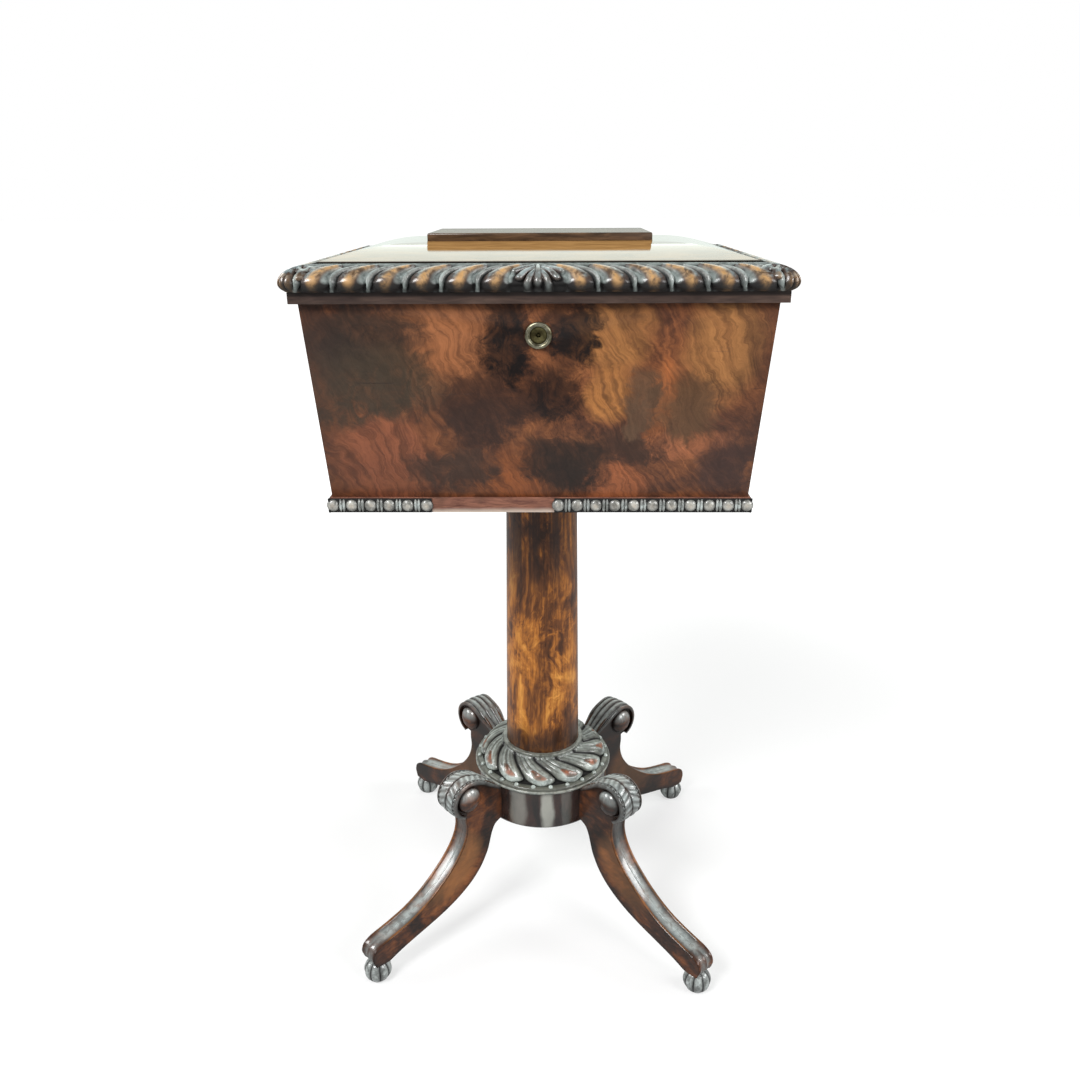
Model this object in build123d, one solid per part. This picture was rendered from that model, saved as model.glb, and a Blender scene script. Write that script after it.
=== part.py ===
from build123d import *

import os
from math import atan2, cos, pi, radians, sin, tan

# A teapoy: a lidded tea chest on a pillar, carried by a turned drum and four scrolled legs.
# Millimetres, +Z up, the front faces -Y, and the origin lies on the floor under the pillar.

# ---------------------------------------------------------------------------
# Driving sizes of the chest. Each layer is `narrower` less deep than it is wide.
# ---------------------------------------------------------------------------
narrower = 95.0
gadroon_width = 450.0
band_width = 433.0
carcass_top_width = 419.0
carcass_foot_width = 393.0
board_width = 397.0
bead_width = 405.0
dome_foot_width = 395.0
tablet_width = 214.0

# Heights, from the floor upwards.
foot_height = 24.0
drum_foot_z = 128.5
drum_height = 49.9
rim_height = 7.0
collar_height = 24.6
shaft_height = 317.0
bearer_height = 18.0
board_height = 14.5
carcass_height = 180.5
lid_gap = 0.2
band_height = 9.8
gadroon_height = 22.6
dome_edge = 1.6
dome_rise = 13.9
tablet_height = 7.5

# Pillar, drum and the turned rings on it.
column_foot_radius = 43.6
column_top_radius = 39.2
column_foot_tenon = 24.0
column_foot_tenon_depth = 34.0
column_top_tenon = 20.0
drum_radius = 78.0
drum_bevel = 4.0
rim_radius = 82.2
rim_cove = 2.2
collar_radius = 73.0
collar_neck_radius = 48.5
collar_ring_width = 2.6
collar_relief = 3.0
collar_lobes = 12
collar_lobe_sweep = 27.0
collar_lobe_radii = (11.5, 6.2, 2.4)
collar_lobe_inset = 0.8
rim_bead_radius = 2.1
bearer_width = 150.0
bearer_depth = 120.0
bearer_chamfer = 4.0
bearer_screw_inset = 17.0

# Legs, as thick as `leg_width`, and the scrolled heads that they end in. The stand has turned
# on the pillar by `stand_turn` degrees, as old stands do.
stand_turn = -1.9
leg_width = 24.0
leg_edge_bead = 4.0
leg_ridge = 2.4
leg_hollow = 1.2
head_radius = 24.3
head_out = 48.0
head_up = 52.8
head_width = 34.0
strap_thickness = 4.6
eye_radius = 12.0
eye_proud = 3.0
leg_waist = (163.0, 89.0)
leg_instep = (206.0, 62.5)
leg_back_knee = (98.0, 102.5)
leg_back_arch = (158.5, 49.0)
leg_toe_rise = 26.0
toe_top_out = 0.5
toe_tip_in = 3.0
toe_round = (2.0, 5.0)
leg_root = 4.0
leg_root_above = 6.0
leg_root_below = 8.0
leg_back_start = (8.0, 2.0)
leg_shoulder = (20.0, 15.0)
leg_neck = (3.5, 27.5)
leg_crown_dip = 1.5
tongue_depth = 14.0
tongue_mouth = 10.0
tongue_back = 16.0
tongue_height = 36.0

# Bun feet, gadrooned like a melon, with a turned peg up into the toe.
foot_circle_radius = 252.0
foot_radius = 15.5
foot_flat_radius = 9.0
foot_lobes = 8
foot_groove = 1.3
foot_peg_radius = 4.0
foot_peg_height = 11.0
foot_levels = (0, 0.14, 0.3, 0.5, 0.7, 0.86, 1)
foot_fullness = 0.7

# Carcass boards.
wall = 13.0
partition = 6.0
bay_half_width = 70.0
partition_height = 155.5
cross_height = 120.0
deck_thickness = 8.0
board_screws_front = 110.0
board_screws_side = 74.5

# Bead-and-reel moulding on the edge of the bottom board.
bead_pitch = 17.8
bead_radius = 5.3
bead_backing = 1.2
reel_width = 3.4
reel_height = 9.6
bead_rounding = ((0, 1.0), (0.5, 0.88), (1, 0.5))
reel_rounding = (0.5, 0.7)
break_from = -102.0
break_to = 14.0

# Gadrooned moulding of the lid.
gadroon_under = 8.0
gadroon_widest = 7.5
gadroon_relief = 3.2
lobe_pitch = 33.5
lobe_radius = 10.6
lobe_lean = 12.0
rib_radius = 1.9
leaf_half_width = 22.0

# Carving on the slope of the moulding. The first number of a point is a share of the lobe's
# lean or of the rib's distance, or millimetres in the leaf, and the second is mm up the slope.
slope_in = 11.0
slope_up = 14.0
lobe_line = ((0, -4.0), (-0.45, 7.0), (-1, 15.0))
lobe_taper = 0.62
rib_line = ((1, -16.0), (1, -5.0), (0.6, 6.0), (0.1, 15.0))
leaf_rib = (((0, -10.0), (0, 12.0)), (5.0, 3.0))
leaf_sprays = ((((3.0, -6.0), (13.0, -11.0)), (3.0, 4.5)), (((4.0, 4.0), (15.0, 1.0)), (3.0, 4.0)))
corner_leaf = 19.0
corner_blade_root = 2.0
corner_blades = ((25, 14.0, 3.6), (45, 16.0, 4.6), (65, 14.0, 3.6))

# Lid.
frame_rail = 36.5
frame_ledge = 6.0
recess_height = 17.0
lining_thickness = 3.0
dome_thickness = 8.0
dome_bulge = 4.0
tablet_edge = 1.6

# Hinges.
hinge_at = 120.0
hinge_length = 50.0
hinge_leaf = 1.5
hinge_leaf_reach = 14.0
hinge_radius = 3.0
hinge_pin_radius = 1.2
hinge_knuckles = 5
hinge_screw_spread = 18.0

# Lock.
lock_below_rim = 28.0
lock_case_width = 44.0
lock_case_drop = 11.0
lock_case_depth = 8.8
lock_plate = 1.2
selvedge_length = 62.0
selvedge_width = 8.0
selvedge_thickness = 1.6
nozzle_radius = 12.0
nozzle_proud = 3.0
nozzle_tube_radius = 9.5
nozzle_edge = 1.4
nozzle_lip = 1.0
plug_radius = 7.5
plug_proud = 0.6
plug_flange = 1.3
key_pin_radius = 1.5
key_pin_depth = 4.0
bolt_throw = 5.0
bolt_thickness = 2.2
bolt_arm = 4.0
prong_height = 3.0
prong_level = 14.6
bolt_foot = 7.0
bolt_head = 3.0
crank_radius = 1.2
staple_thickness = 2.5
staple_width = 4.6
staple_bar = 1.4
staple_at = (-7.0, 11.0)

# Tea canisters and mixing bowls.
canister_height = 136.0
canister_wall = 6.0
canister_lid_height = 10.0
canister_lid_plug = 4.0
knob_height = 16.0
knob_radius = 7.0
knob_neck = 3.2
knob_foot_radius = 5.6
knob_neck_from = 3.0
knob_neck_to = 5.0
knob_ball_level = 10.4
knob_peg_depth = 6.0
knob_peg_radius = 2.4
bowl_radius = 56.0
bowl_foot_radius = 27.0
bowl_depth = 76.0
bowl_rim = 5.5
bowl_rim_height = 5.0
bowl_glass = 3.4
bowl_at = 68.0

# Screws: head radius, shank radius and length.
iron_screw = (4.2, 2.0, 28.0)
brass_screw = (2.4, 1.1, 8.0)

# Clearances, and how far a cutter runs past the face that it cuts.
glue_gap = 0.1
running_fit = 0.06
sliding_fit = 0.3
canister_fit = 1.2
lid_fit = 0.5
staple_fit = 0.9
overrun = 1.0

# ---------------------------------------------------------------------------
# Levels and places that follow from the sizes above.
# ---------------------------------------------------------------------------
drum_top = drum_foot_z + drum_height
rim_top = drum_top + rim_height
collar_top = rim_top + collar_height
bearer_foot = collar_top + shaft_height
board_foot = bearer_foot + bearer_height
carcass_foot = board_foot + board_height
carcass_top = carcass_foot + carcass_height
lid_foot = carcass_top + lid_gap
band_top = lid_foot + band_height
gadroon_top = band_top + gadroon_height
frame_top = gadroon_top - dome_edge
dome_top = gadroon_top + dome_rise
half_less = narrower / 2
far = 2 * gadroon_width
deck_top = carcass_foot + partition_height
canister_top = carcass_foot + canister_height
canister_lid_top = canister_top + canister_lid_height

# Quarter turns that take the right-hand side of the chest to each of its sides.
turns = {"right": 0, "back": 90, "left": 180, "front": 270}
parts = {}


def side_place(side):
    """Moves what is drawn on the right-hand side (out = X, along = Y) to another side."""
    inset = half_less if side in ("front", "back") else 0
    return Rot(0, 0, turns[side]) * Pos(-inset, 0, 0)


def sector(side):
    """The wedge of space that one side of a mitred rectangle owns."""
    if side in ("front", "back"):
        corners = [(0, -half_less), (0, half_less), (far, half_less + far), (far, -half_less - far)]
        inset = half_less
    else:
        corners = [(half_less, 0), (half_less + far, far), (half_less + far, -far)]
        inset = 0
    plan = Polygon(*corners, align=None)
    wedge = Pos(inset, 0, 0) * extrude(plan, amount=far, dir=(0, 0, 1))
    return side_place(side) * wedge


def run(profile, side):
    """Carries a profile (out, up) along one side of the chest and mitres both ends."""
    bar = extrude(Plane.XZ * profile, amount=far / 2, both=True)
    return (side_place(side) * bar) & sector(side)


def layer(width_low, width_high, z_low, z_high):
    """A rectangular block that may widen upwards."""
    low = Pos(0, 0, z_low) * Rectangle(width_low, width_low - narrower)
    high = Pos(0, 0, z_high) * Rectangle(width_high, width_high - narrower)
    return loft([low, high], ruled=True)


def block(x_range, y_range, z_range):
    """A box between three pairs of limits."""
    (x0, x1), (y0, y1), (z0, z1) = x_range, y_range, z_range
    centre = Pos((x0 + x1) / 2, (y0 + y1) / 2, (z0 + z1) / 2)
    return centre * Box(x1 - x0, y1 - y0, z1 - z0)


def turned(points):
    """Revolves an outline of (radius, height) points about the Z axis."""
    outline = make_face(Plane.XZ * Polyline(*points, close=True))
    return revolve(outline, Axis.Z)


def rod(radius, z_low, z_high):
    """An upright cylinder between two levels."""
    return Pos(0, 0, (z_low + z_high) / 2) * Cylinder(radius, z_high - z_low)


def stroke(points, radii):
    """A flat shape drawn by a round pen that changes width from point to point."""
    discs = [Pos(*point) * Circle(radius) for point, radius in zip(points, radii)]
    steps = [make_hull(a.edges() + b.edges()) for a, b in zip(discs, discs[1:])]
    shape = steps[0]
    for step in steps[1:]:
        shape = shape + step
    return shape


def screw(size):
    """A countersunk wood screw, head up, with the top of its head at the origin."""
    head, shank, length = size
    cone = head - shank
    return turned([(0, 0), (head, 0), (shank, -cone), (shank, shank - length), (0, -length)])


def screw_hole(size):
    """The pilot hole and countersink for a screw."""
    head, shank, length = size
    return screw((head + glue_gap, shank + glue_gap, length + glue_gap))


def grouped(solids):
    """Puts separate solids of one kind into a single node."""
    return Compound(children=[piece for shape in solids for piece in shape.solids()])


# ---------------------------------------------------------------------------
# Pedestal: drum, rim, carved collar, pillar and bearer
# ---------------------------------------------------------------------------
def tongue(clearance):
    """The dovetail that ties a leg to the drum, lying along +X."""
    mouth = tongue_mouth / 2 + clearance
    back = tongue_back / 2 + clearance
    inner = drum_radius - tongue_depth - clearance
    outer = drum_radius + overrun
    plan = Polygon((inner, -back), (outer, -mouth), (outer, mouth), (inner, back), align=None)
    return Pos(0, 0, drum_foot_z) * extrude(plan, amount=tongue_height + clearance, dir=(0, 0, 1))


def leg_angles():
    """The four diagonals, counted from the front right and turned with the stand."""
    diagonals = {"front_right": -45, "back_right": 45, "back_left": 135, "front_left": 225}
    return {name: angle + stand_turn for name, angle in diagonals.items()}


def make_drum():
    socket_foot = drum_top - column_foot_tenon_depth - glue_gap
    body = turned([(0, drum_foot_z), (drum_radius - drum_bevel, drum_foot_z),
                   (drum_radius, drum_foot_z + drum_bevel), (drum_radius, drum_top), (0, drum_top)])
    body = body - rod(column_foot_tenon + glue_gap, socket_foot, drum_top + overrun)
    for angle in leg_angles().values():
        body = body - Rot(0, 0, angle) * tongue(glue_gap)
    return body


def make_rim():
    bore = column_foot_radius + glue_gap
    ring = turned([(bore, drum_top), (rim_radius, drum_top), (rim_radius, rim_top - 2 * rim_cove),
                   (rim_radius - rim_cove / 2, rim_top - rim_cove), (rim_radius - rim_cove, rim_top),
                   (bore, rim_top)])
    beads = []
    circle = collar_radius + rim_bead_radius + sliding_fit
    for index in range(2 * collar_lobes):
        angle = (index + 0.5) * 180 / collar_lobes
        stud = extrude(RegularPolygon(rim_bead_radius, 6), amount=rim_bead_radius, taper=30)
        beads.append(Rot(0, 0, angle) * Pos(circle, 0, rim_top) * stud)
    return ring + beads


def collar_body(lift):
    """The collar's convex skirt, `lift` outside its ground."""
    bore = column_foot_radius + glue_gap
    shoulder = collar_top - collar_ring_width - collar_relief + lift
    reach = collar_radius - collar_relief + lift
    with BuildSketch(Plane.XZ) as outline:
        with BuildLine():
            Polyline((collar_neck_radius, shoulder), (bore, shoulder), (bore, rim_top), (reach, rim_top))
            Spline((reach, rim_top), (collar_neck_radius, shoulder), tangents=[(0.1, 1), (-1, 0.25)])
        make_face()
    return revolve(outline.sketch, Axis.Z)


def make_collar():
    bore = column_foot_radius + glue_gap
    ring = turned([(bore, rim_top), (collar_neck_radius, rim_top),
                   (collar_neck_radius, collar_top - collar_ring_width / 2),
                   (collar_neck_radius - collar_ring_width / 2, collar_top), (bore, collar_top)])
    tip = collar_radius - collar_lobe_inset - collar_lobe_radii[0]
    sweep = radians(collar_lobe_sweep)
    neck = collar_neck_radius + overrun
    middle = (tip + neck) / 2
    bend = 0.4 * sweep
    points = [(tip, 0), (middle * cos(bend), -middle * sin(bend)), (neck * cos(sweep), -neck * sin(sweep))]
    leaf = extrude(stroke(points, collar_lobe_radii), amount=collar_top, dir=(0, 0, 1))
    leaves = [Rot(0, 0, index * 360 / collar_lobes - 90) * leaf for index in range(collar_lobes)]
    lobes = collar_body(collar_relief) & (leaves[0] + leaves[1:])
    return collar_body(0) + lobes + ring


def make_column():
    tenon_foot = drum_top - column_foot_tenon_depth
    return turned([(0, tenon_foot), (column_foot_tenon, tenon_foot), (column_foot_tenon, drum_top),
                   (column_foot_radius, drum_top), (column_top_radius, bearer_foot),
                   (column_top_tenon, bearer_foot), (column_top_tenon, board_foot), (0, board_foot)])


def bearer_screw_places():
    reach_x = bearer_width / 2 - bearer_screw_inset
    reach_y = bearer_depth / 2 - bearer_screw_inset
    corners = [(x, y) for x in (-reach_x, reach_x) for y in (-reach_y, reach_y)]
    return [Pos(x, y, bearer_foot) * Rot(180, 0, 0) for x, y in corners]


def make_bearer():
    body = block((-bearer_width / 2, bearer_width / 2), (-bearer_depth / 2, bearer_depth / 2),
                 (bearer_foot, board_foot))
    body = chamfer(body.faces().sort_by(Axis.Z)[0].edges(), bearer_chamfer)
    body = body - rod(column_top_tenon + glue_gap, bearer_foot - overrun, board_foot + overrun)
    for place in bearer_screw_places():
        body = body - place * screw_hole(iron_screw)
    return body


parts["drum"] = make_drum()
parts["base_rim"] = make_rim()
parts["carved_collar"] = make_collar()
parts["column"] = make_column()
parts["bearer"] = make_bearer()


# ---------------------------------------------------------------------------
# Legs and feet
# ---------------------------------------------------------------------------
def leg_profile():
    """Outline of the whole leg in (distance from the axis, height)."""
    eye = (drum_radius + head_out, drum_foot_z + head_up)
    root = drum_radius - leg_root
    root_low = drum_foot_z + leg_root_above
    root_high = drum_top - leg_root_below
    shoulder = (drum_radius + leg_shoulder[0], drum_top + leg_shoulder[1])
    back_start = (drum_radius + leg_back_start[0], drum_foot_z + leg_back_start[1])
    toe_back = foot_circle_radius - foot_flat_radius
    toe_front = foot_circle_radius + foot_flat_radius
    neck = (eye[0] + leg_neck[0], eye[1] - leg_neck[1])
    toe_top = (foot_circle_radius + toe_top_out, foot_height + leg_toe_rise)
    toe_tip = (foot_circle_radius + foot_radius - toe_tip_in, foot_height + leg_toe_rise / 2)
    toe_side = (toe_tip[0] - toe_round[0], toe_top[1] - toe_round[1])
    crown = (eye[0], eye[1] + head_radius - leg_crown_dip)
    with BuildSketch() as outline:
        with BuildLine():
            Spline((root, root_high), shoulder, crown, tangents=[(0.6, 1), (1, 0)])
            Line(crown, neck)
            Spline(neck, leg_waist, leg_instep, toe_top, tangents=[(-0.25, -1), (1, -0.25)])
            ThreePointArc(toe_top, toe_side, toe_tip)
            Polyline(toe_tip, (toe_front, foot_height), (toe_back, foot_height))
            Spline((toe_back, foot_height), leg_back_arch, leg_back_knee, back_start, (root, root_low),
                   tangents=[(-1, 0.45), (-1, 0.2)])
            Line((root, root_low), (root, root_high))
        make_face()
    return outline.sketch + Pos(*eye) * Circle(head_radius)


def slab(face, half_from, half_to):
    """Extrudes an upright profile between two distances on both sides of the leg's middle."""
    near = extrude(Plane.XZ.offset(half_from) * face, amount=half_to - half_from)
    return near + mirror(near, Plane.XZ)


def make_leg():
    eye = Pos(drum_radius + head_out, drum_foot_z + head_up)
    whole = leg_profile()
    hollowed = whole & (Pos(-leg_hollow, -leg_hollow) * whole)
    body = extrude(Plane.XZ * hollowed, amount=leg_width / 2, both=True)
    body = body + extrude(Plane.XZ * whole, amount=leg_ridge / 2, both=True)
    body = body + slab(whole, leg_width / 2 - leg_edge_bead, leg_width / 2)
    band = Circle(head_radius) - Circle(head_radius - strap_thickness)
    beyond = -2 * head_radius
    corner = Polygon((0, 0), (0, beyond), (beyond, beyond), (beyond, 0), align=None)
    strap = eye * (band - corner)
    scroll = eye * Circle(eye_radius)
    body = body + extrude(Plane.XZ * strap, amount=head_width / 2, both=True)
    body = body + extrude(Plane.XZ * scroll, amount=leg_width / 2 + eye_proud, both=True)
    body = body - rod(drum_radius, 0, drum_top) - rod(rim_radius + glue_gap, drum_top, collar_top)
    body = body + tongue(0)
    peg_hole = rod(foot_peg_radius + glue_gap, 0, foot_height + foot_peg_height + glue_gap)
    return body - Pos(foot_circle_radius, 0, 0) * peg_hole


def lobed_ring(radius, level):
    """A closed outline with a shallow groove between its lobes."""
    points = []
    steps = 3 * foot_lobes
    for index in range(steps):
        angle = 2 * pi * index / steps
        reach = radius - (foot_groove if index % 3 == 0 else 0)
        points.append((reach * cos(angle), reach * sin(angle)))
    return Pos(0, 0, level) * Polygon(*points, align=None)


def make_foot():
    rings = []
    for share in foot_levels:
        swell = sin(pi * share) ** foot_fullness if 0 < share < 1 else 0
        radius = foot_flat_radius + (foot_radius - foot_flat_radius) * swell
        rings.append(lobed_ring(radius, foot_height * share))
    bun = loft(rings, ruled=True)
    return bun + rod(foot_peg_radius, foot_height - overrun, foot_height + foot_peg_height)


leg = make_leg()
foot = Pos(foot_circle_radius, 0, 0) * make_foot()
for name, angle in leg_angles().items():
    parts["leg_" + name] = Rot(0, 0, angle) * leg
    parts["foot_" + name] = Rot(0, 0, angle) * foot


# ---------------------------------------------------------------------------
# Lock: places are (along X, up the front wall, out of the front wall)
# ---------------------------------------------------------------------------
wall_splay = atan2((carcass_top_width - carcass_foot_width) / 2, carcass_height)
lock_level = carcass_top - lock_below_rim
lock_y = -(carcass_top_width - narrower) / 2 + lock_below_rim * tan(wall_splay)
lock_plane = Plane(origin=(0, lock_y, lock_level), x_dir=(1, 0, 0),
                   z_dir=(0, -cos(wall_splay), -sin(wall_splay)))
at_lock = lock_plane.location
case_back = -wall * cos(wall_splay)
case_front = case_back + lock_case_depth
case_middle = (case_back + case_front) / 2
case_top = (lock_below_rim - selvedge_thickness / 2) / cos(wall_splay)
selvedge_y = -(carcass_top_width - narrower) / 2 + wall - lock_case_depth / 2
bolt_front = case_middle + bolt_thickness / 2
plug_back = case_front - lock_plate - plug_flange
crank_throw = bolt_throw / (2 * sin(pi / 4))
staple_foot = prong_level - prong_height / 2 - sliding_fit - staple_bar


def lock_case_block(grow):
    half = lock_case_width / 2 + grow
    return block((-half, half), (-lock_case_drop - grow, case_top), (case_back - grow, case_front + grow))


def selvedge(grow):
    half_x = selvedge_length / 2 + grow
    half_y = selvedge_width / 2 + grow
    return block((-half_x, half_x), (selvedge_y - half_y, selvedge_y + half_y),
                 (carcass_top - selvedge_thickness - grow, carcass_top))


def selvedge_screw_places(level):
    reach = selvedge_length / 2 - 2 * brass_screw[0]
    return [Pos(x, selvedge_y, level) for x in (-reach, reach)]


def staple_slots():
    top = lock_below_rim / cos(wall_splay) + wall * sin(wall_splay) + overrun
    slots = []
    for middle in staple_at:
        half_x = staple_thickness / 2 + lid_fit
        half_n = staple_width / 2 + staple_fit
        slots.append(block((middle - half_x, middle + half_x), (prong_level, top),
                           (case_middle - half_n, case_middle + half_n)))
    return slots


def make_lock_case():
    half = lock_case_width / 2 - lock_plate
    cavity = block((-half, half), (-lock_case_drop + lock_plate, case_top - lock_plate),
                   (case_back + lock_plate, case_front - lock_plate))
    hole = Pos(0, 0, case_front) * Cylinder(plug_radius + running_fit, 2 * lock_plate + overrun)
    box = lock_case_block(0) - cavity - hole
    case = at_lock * box + selvedge(0)
    for slot in staple_slots():
        case = case - at_lock * slot
    for place in selvedge_screw_places(carcass_top):
        case = case - place * screw_hole(brass_screw)
    return case


def make_nozzle():
    bore = plug_radius + running_fit
    return at_lock * turned([(bore, case_front + glue_gap), (nozzle_tube_radius, case_front + glue_gap),
                             (nozzle_tube_radius, 0), (nozzle_radius, 0),
                             (nozzle_radius, nozzle_proud - nozzle_edge),
                             (nozzle_radius - nozzle_edge, nozzle_proud),
                             (bore + nozzle_lip, nozzle_proud), (bore, nozzle_proud - nozzle_lip)])


def make_plug():
    inner_face = case_front - lock_plate - running_fit
    body = turned([(0, plug_back), (plug_radius + plug_flange, plug_back),
                   (plug_radius + plug_flange, inner_face), (plug_radius, inner_face),
                   (plug_radius, plug_proud), (key_pin_radius, plug_proud),
                   (key_pin_radius, plug_proud - key_pin_depth), (0, plug_proud - key_pin_depth)])
    reach = plug_back - (case_middle - bolt_thickness / 2) + plug_flange / 2
    crank = Pos(-bolt_throw / 2, -bolt_throw / 2, plug_back - reach / 2) * Cylinder(crank_radius, reach)
    return at_lock * (body + crank)


def make_bolt():
    flat = (case_middle - bolt_thickness / 2, bolt_front)
    gap = sliding_fit + lid_fit
    tips = [middle - staple_thickness / 2 - gap for middle in staple_at]
    length = bolt_throw + lid_fit
    arms_from = [tip - length - bolt_arm for tip in tips]
    prong = (prong_level - prong_height / 2, prong_level + prong_height / 2)
    body = block((arms_from[0], tips[1]), (-bolt_foot, bolt_head), flat)
    for start, tip in zip(arms_from, tips):
        body = body + block((start, start + bolt_arm), (0, prong[1]), flat)
        body = body + block((start, tip), prong, flat)
    slot_half = crank_radius + sliding_fit
    slot = block((-bolt_throw / 2 - slot_half, -bolt_throw / 2 + slot_half),
                 (-crank_throw - slot_half, -bolt_throw / 2 + slot_half),
                 (flat[0] - overrun, flat[1] + overrun))
    return at_lock * (body - slot)


def make_link_plate():
    """The plate in the lid whose two staples drop into the lock."""
    half_x = selvedge_length / 2
    half_y = selvedge_width / 2
    plate = block((-half_x, half_x), (selvedge_y - half_y, selvedge_y + half_y),
                  (lid_foot, lid_foot + selvedge_thickness))
    top = (lock_below_rim + lid_gap + selvedge_thickness / 2) / cos(wall_splay)
    for middle in staple_at:
        half_t = staple_thickness / 2
        half_n = staple_width / 2
        eye_half = bolt_thickness / 2 + sliding_fit
        tab = block((middle - half_t, middle + half_t), (staple_foot, top),
                    (case_middle - half_n, case_middle + half_n))
        eye = block((middle - half_t - overrun, middle + half_t + overrun),
                    (staple_foot + staple_bar, prong_level + prong_height / 2 + sliding_fit),
                    (case_middle - eye_half, case_middle + eye_half))
        plate = plate + at_lock * (tab - eye)
    for place in selvedge_screw_places(lid_foot):
        plate = plate - place * Rot(180, 0, 0) * screw_hole(brass_screw)
    return plate


parts["lock_case"] = make_lock_case()
parts["lock_nozzle"] = make_nozzle()
parts["lock_plug"] = make_plug()
parts["lock_bolt"] = make_bolt()
parts["link_plate"] = make_link_plate()

# ---------------------------------------------------------------------------
# Hinges on the back edge
# ---------------------------------------------------------------------------
carcass_back = (carcass_top_width - narrower) / 2
hinge_y = carcass_back + hinge_radius + sliding_fit
hinge_z = (carcass_top + lid_foot) / 2
knuckle = hinge_length / hinge_knuckles


def hinge_screw_places(level, upwards):
    turn = Rot(180, 0, 0) if upwards else Rot(0, 0, 0)
    y = hinge_y - hinge_leaf_reach + 2 * brass_screw[0]
    offsets = (-hinge_screw_spread, 0, hinge_screw_spread)
    return [Pos(side * hinge_at + offset, y, level) * turn for side in (-1, 1) for offset in offsets]


def hinge_leaf_solid(middle, z_low, owned):
    """One leaf with the knuckles that it owns, let into wood at y < the wall's face."""
    x_range = (middle - hinge_length / 2, middle + hinge_length / 2)
    leaf = block(x_range, (hinge_y - hinge_leaf_reach, carcass_back), (z_low, z_low + hinge_leaf))
    bore = hinge_pin_radius + running_fit
    for index in owned:
        start = x_range[0] + index * knuckle + glue_gap
        end = x_range[0] + (index + 1) * knuckle - glue_gap
        lie = Pos((start + end) / 2, hinge_y, hinge_z) * Rot(0, 90, 0)
        barrel = lie * Cylinder(hinge_radius, end - start)
        tab = block((start, end), (carcass_back - overrun, hinge_y), (z_low, z_low + hinge_leaf))
        leaf = leaf + barrel + tab - lie * Cylinder(bore, end - start + overrun)
    return leaf


def make_leaves(z_low, owned, screw_level, upwards):
    leaves = [hinge_leaf_solid(side * hinge_at, z_low, owned) for side in (-1, 1)]
    for place in hinge_screw_places(screw_level, upwards):
        leaves = [leaf - place * screw_hole(brass_screw) for leaf in leaves]
    return grouped(leaves)


def make_pins():
    pins = []
    for side in (-1, 1):
        lie = Pos(side * hinge_at, hinge_y, hinge_z) * Rot(0, 90, 0)
        pins.append(lie * Cylinder(hinge_pin_radius, hinge_length))
    return grouped(pins)


def leaf_recess(z_low, z_high, reach):
    """What is cut from the wood for both leaves: `reach` is how far back it runs."""
    cuts = []
    for side in (-1, 1):
        half = hinge_length / 2 + glue_gap
        middle = side * hinge_at
        cuts.append(block((middle - half, middle + half),
                          (hinge_y - hinge_leaf_reach - glue_gap, reach), (z_low, z_high)))
    return cuts


parts["hinge_box_leaves"] = make_leaves(carcass_top - hinge_leaf, (0, 2, 4), carcass_top, False)
parts["hinge_lid_leaves"] = make_leaves(lid_foot, (1, 3), lid_foot, True)
parts["hinge_pins"] = make_pins()


# ---------------------------------------------------------------------------
# Carcass: four splayed walls on a bottom board
# ---------------------------------------------------------------------------
def board_screw_places():
    """Iron screws up through the bottom board into the middle of each wall."""
    out = (carcass_foot_width - wall) / 2
    places = []
    for side in turns:
        along = board_screws_front if side in ("front", "back") else board_screws_side
        for step in (-along, along):
            places.append(side_place(side) * Pos(out, step, board_foot) * Rot(180, 0, 0))
    return places


def make_walls():
    outside = layer(carcass_foot_width, carcass_top_width, carcass_foot, carcass_top)
    inside = layer(carcass_foot_width - 2 * wall, carcass_top_width - 2 * wall, carcass_foot, carcass_top)
    shell = outside - inside
    walls = {side: shell & sector(side) for side in turns}
    for place in board_screw_places():
        walls = {side: body - place * screw_hole(iron_screw) for side, body in walls.items()}
    front = walls["front"] - at_lock * lock_case_block(glue_gap) - selvedge(glue_gap)
    front = front - at_lock * Cylinder(nozzle_tube_radius + glue_gap, 4 * wall)
    for place in selvedge_screw_places(carcass_top):
        front = front - place * screw_hole(brass_screw)
    back = walls["back"]
    for cut in leaf_recess(carcass_top - hinge_leaf - glue_gap, carcass_top + overrun, far):
        back = back - cut
    for place in hinge_screw_places(carcass_top, False):
        back = back - place * screw_hole(brass_screw)
    walls["front"] = front
    walls["back"] = back
    return walls


def make_bottom():
    body = layer(board_width, board_width, board_foot, carcass_foot)
    for place in board_screw_places() + bearer_screw_places():
        body = body - place * screw_hole(iron_screw)
    return body


for side, body in make_walls().items():
    parts["carcass_" + side] = body
parts["bottom_board"] = make_bottom()
iron_places = board_screw_places() + bearer_screw_places()
parts["iron_screws"] = grouped([place * screw(iron_screw) for place in iron_places])
box_places = hinge_screw_places(carcass_top, False) + selvedge_screw_places(carcass_top)
parts["brass_screws_box"] = grouped([place * screw(brass_screw) for place in box_places])
link_places = [place * Rot(180, 0, 0) for place in selvedge_screw_places(lid_foot)]
lid_places = hinge_screw_places(lid_foot, True) + link_places
parts["brass_screws_lid"] = grouped([place * screw(brass_screw) for place in lid_places])


# ---------------------------------------------------------------------------
# Bead-and-reel moulding
# ---------------------------------------------------------------------------
def bead(back, front):
    """A faceted bead that stands out of the strip along +X."""
    rings = []
    for depth, share in bead_rounding:
        face = RegularPolygon(bead_radius * share, 8)
        rings.append(Plane.YZ.offset(back + depth * (front - back)) * face)
    return loft(rings, ruled=True)


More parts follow.
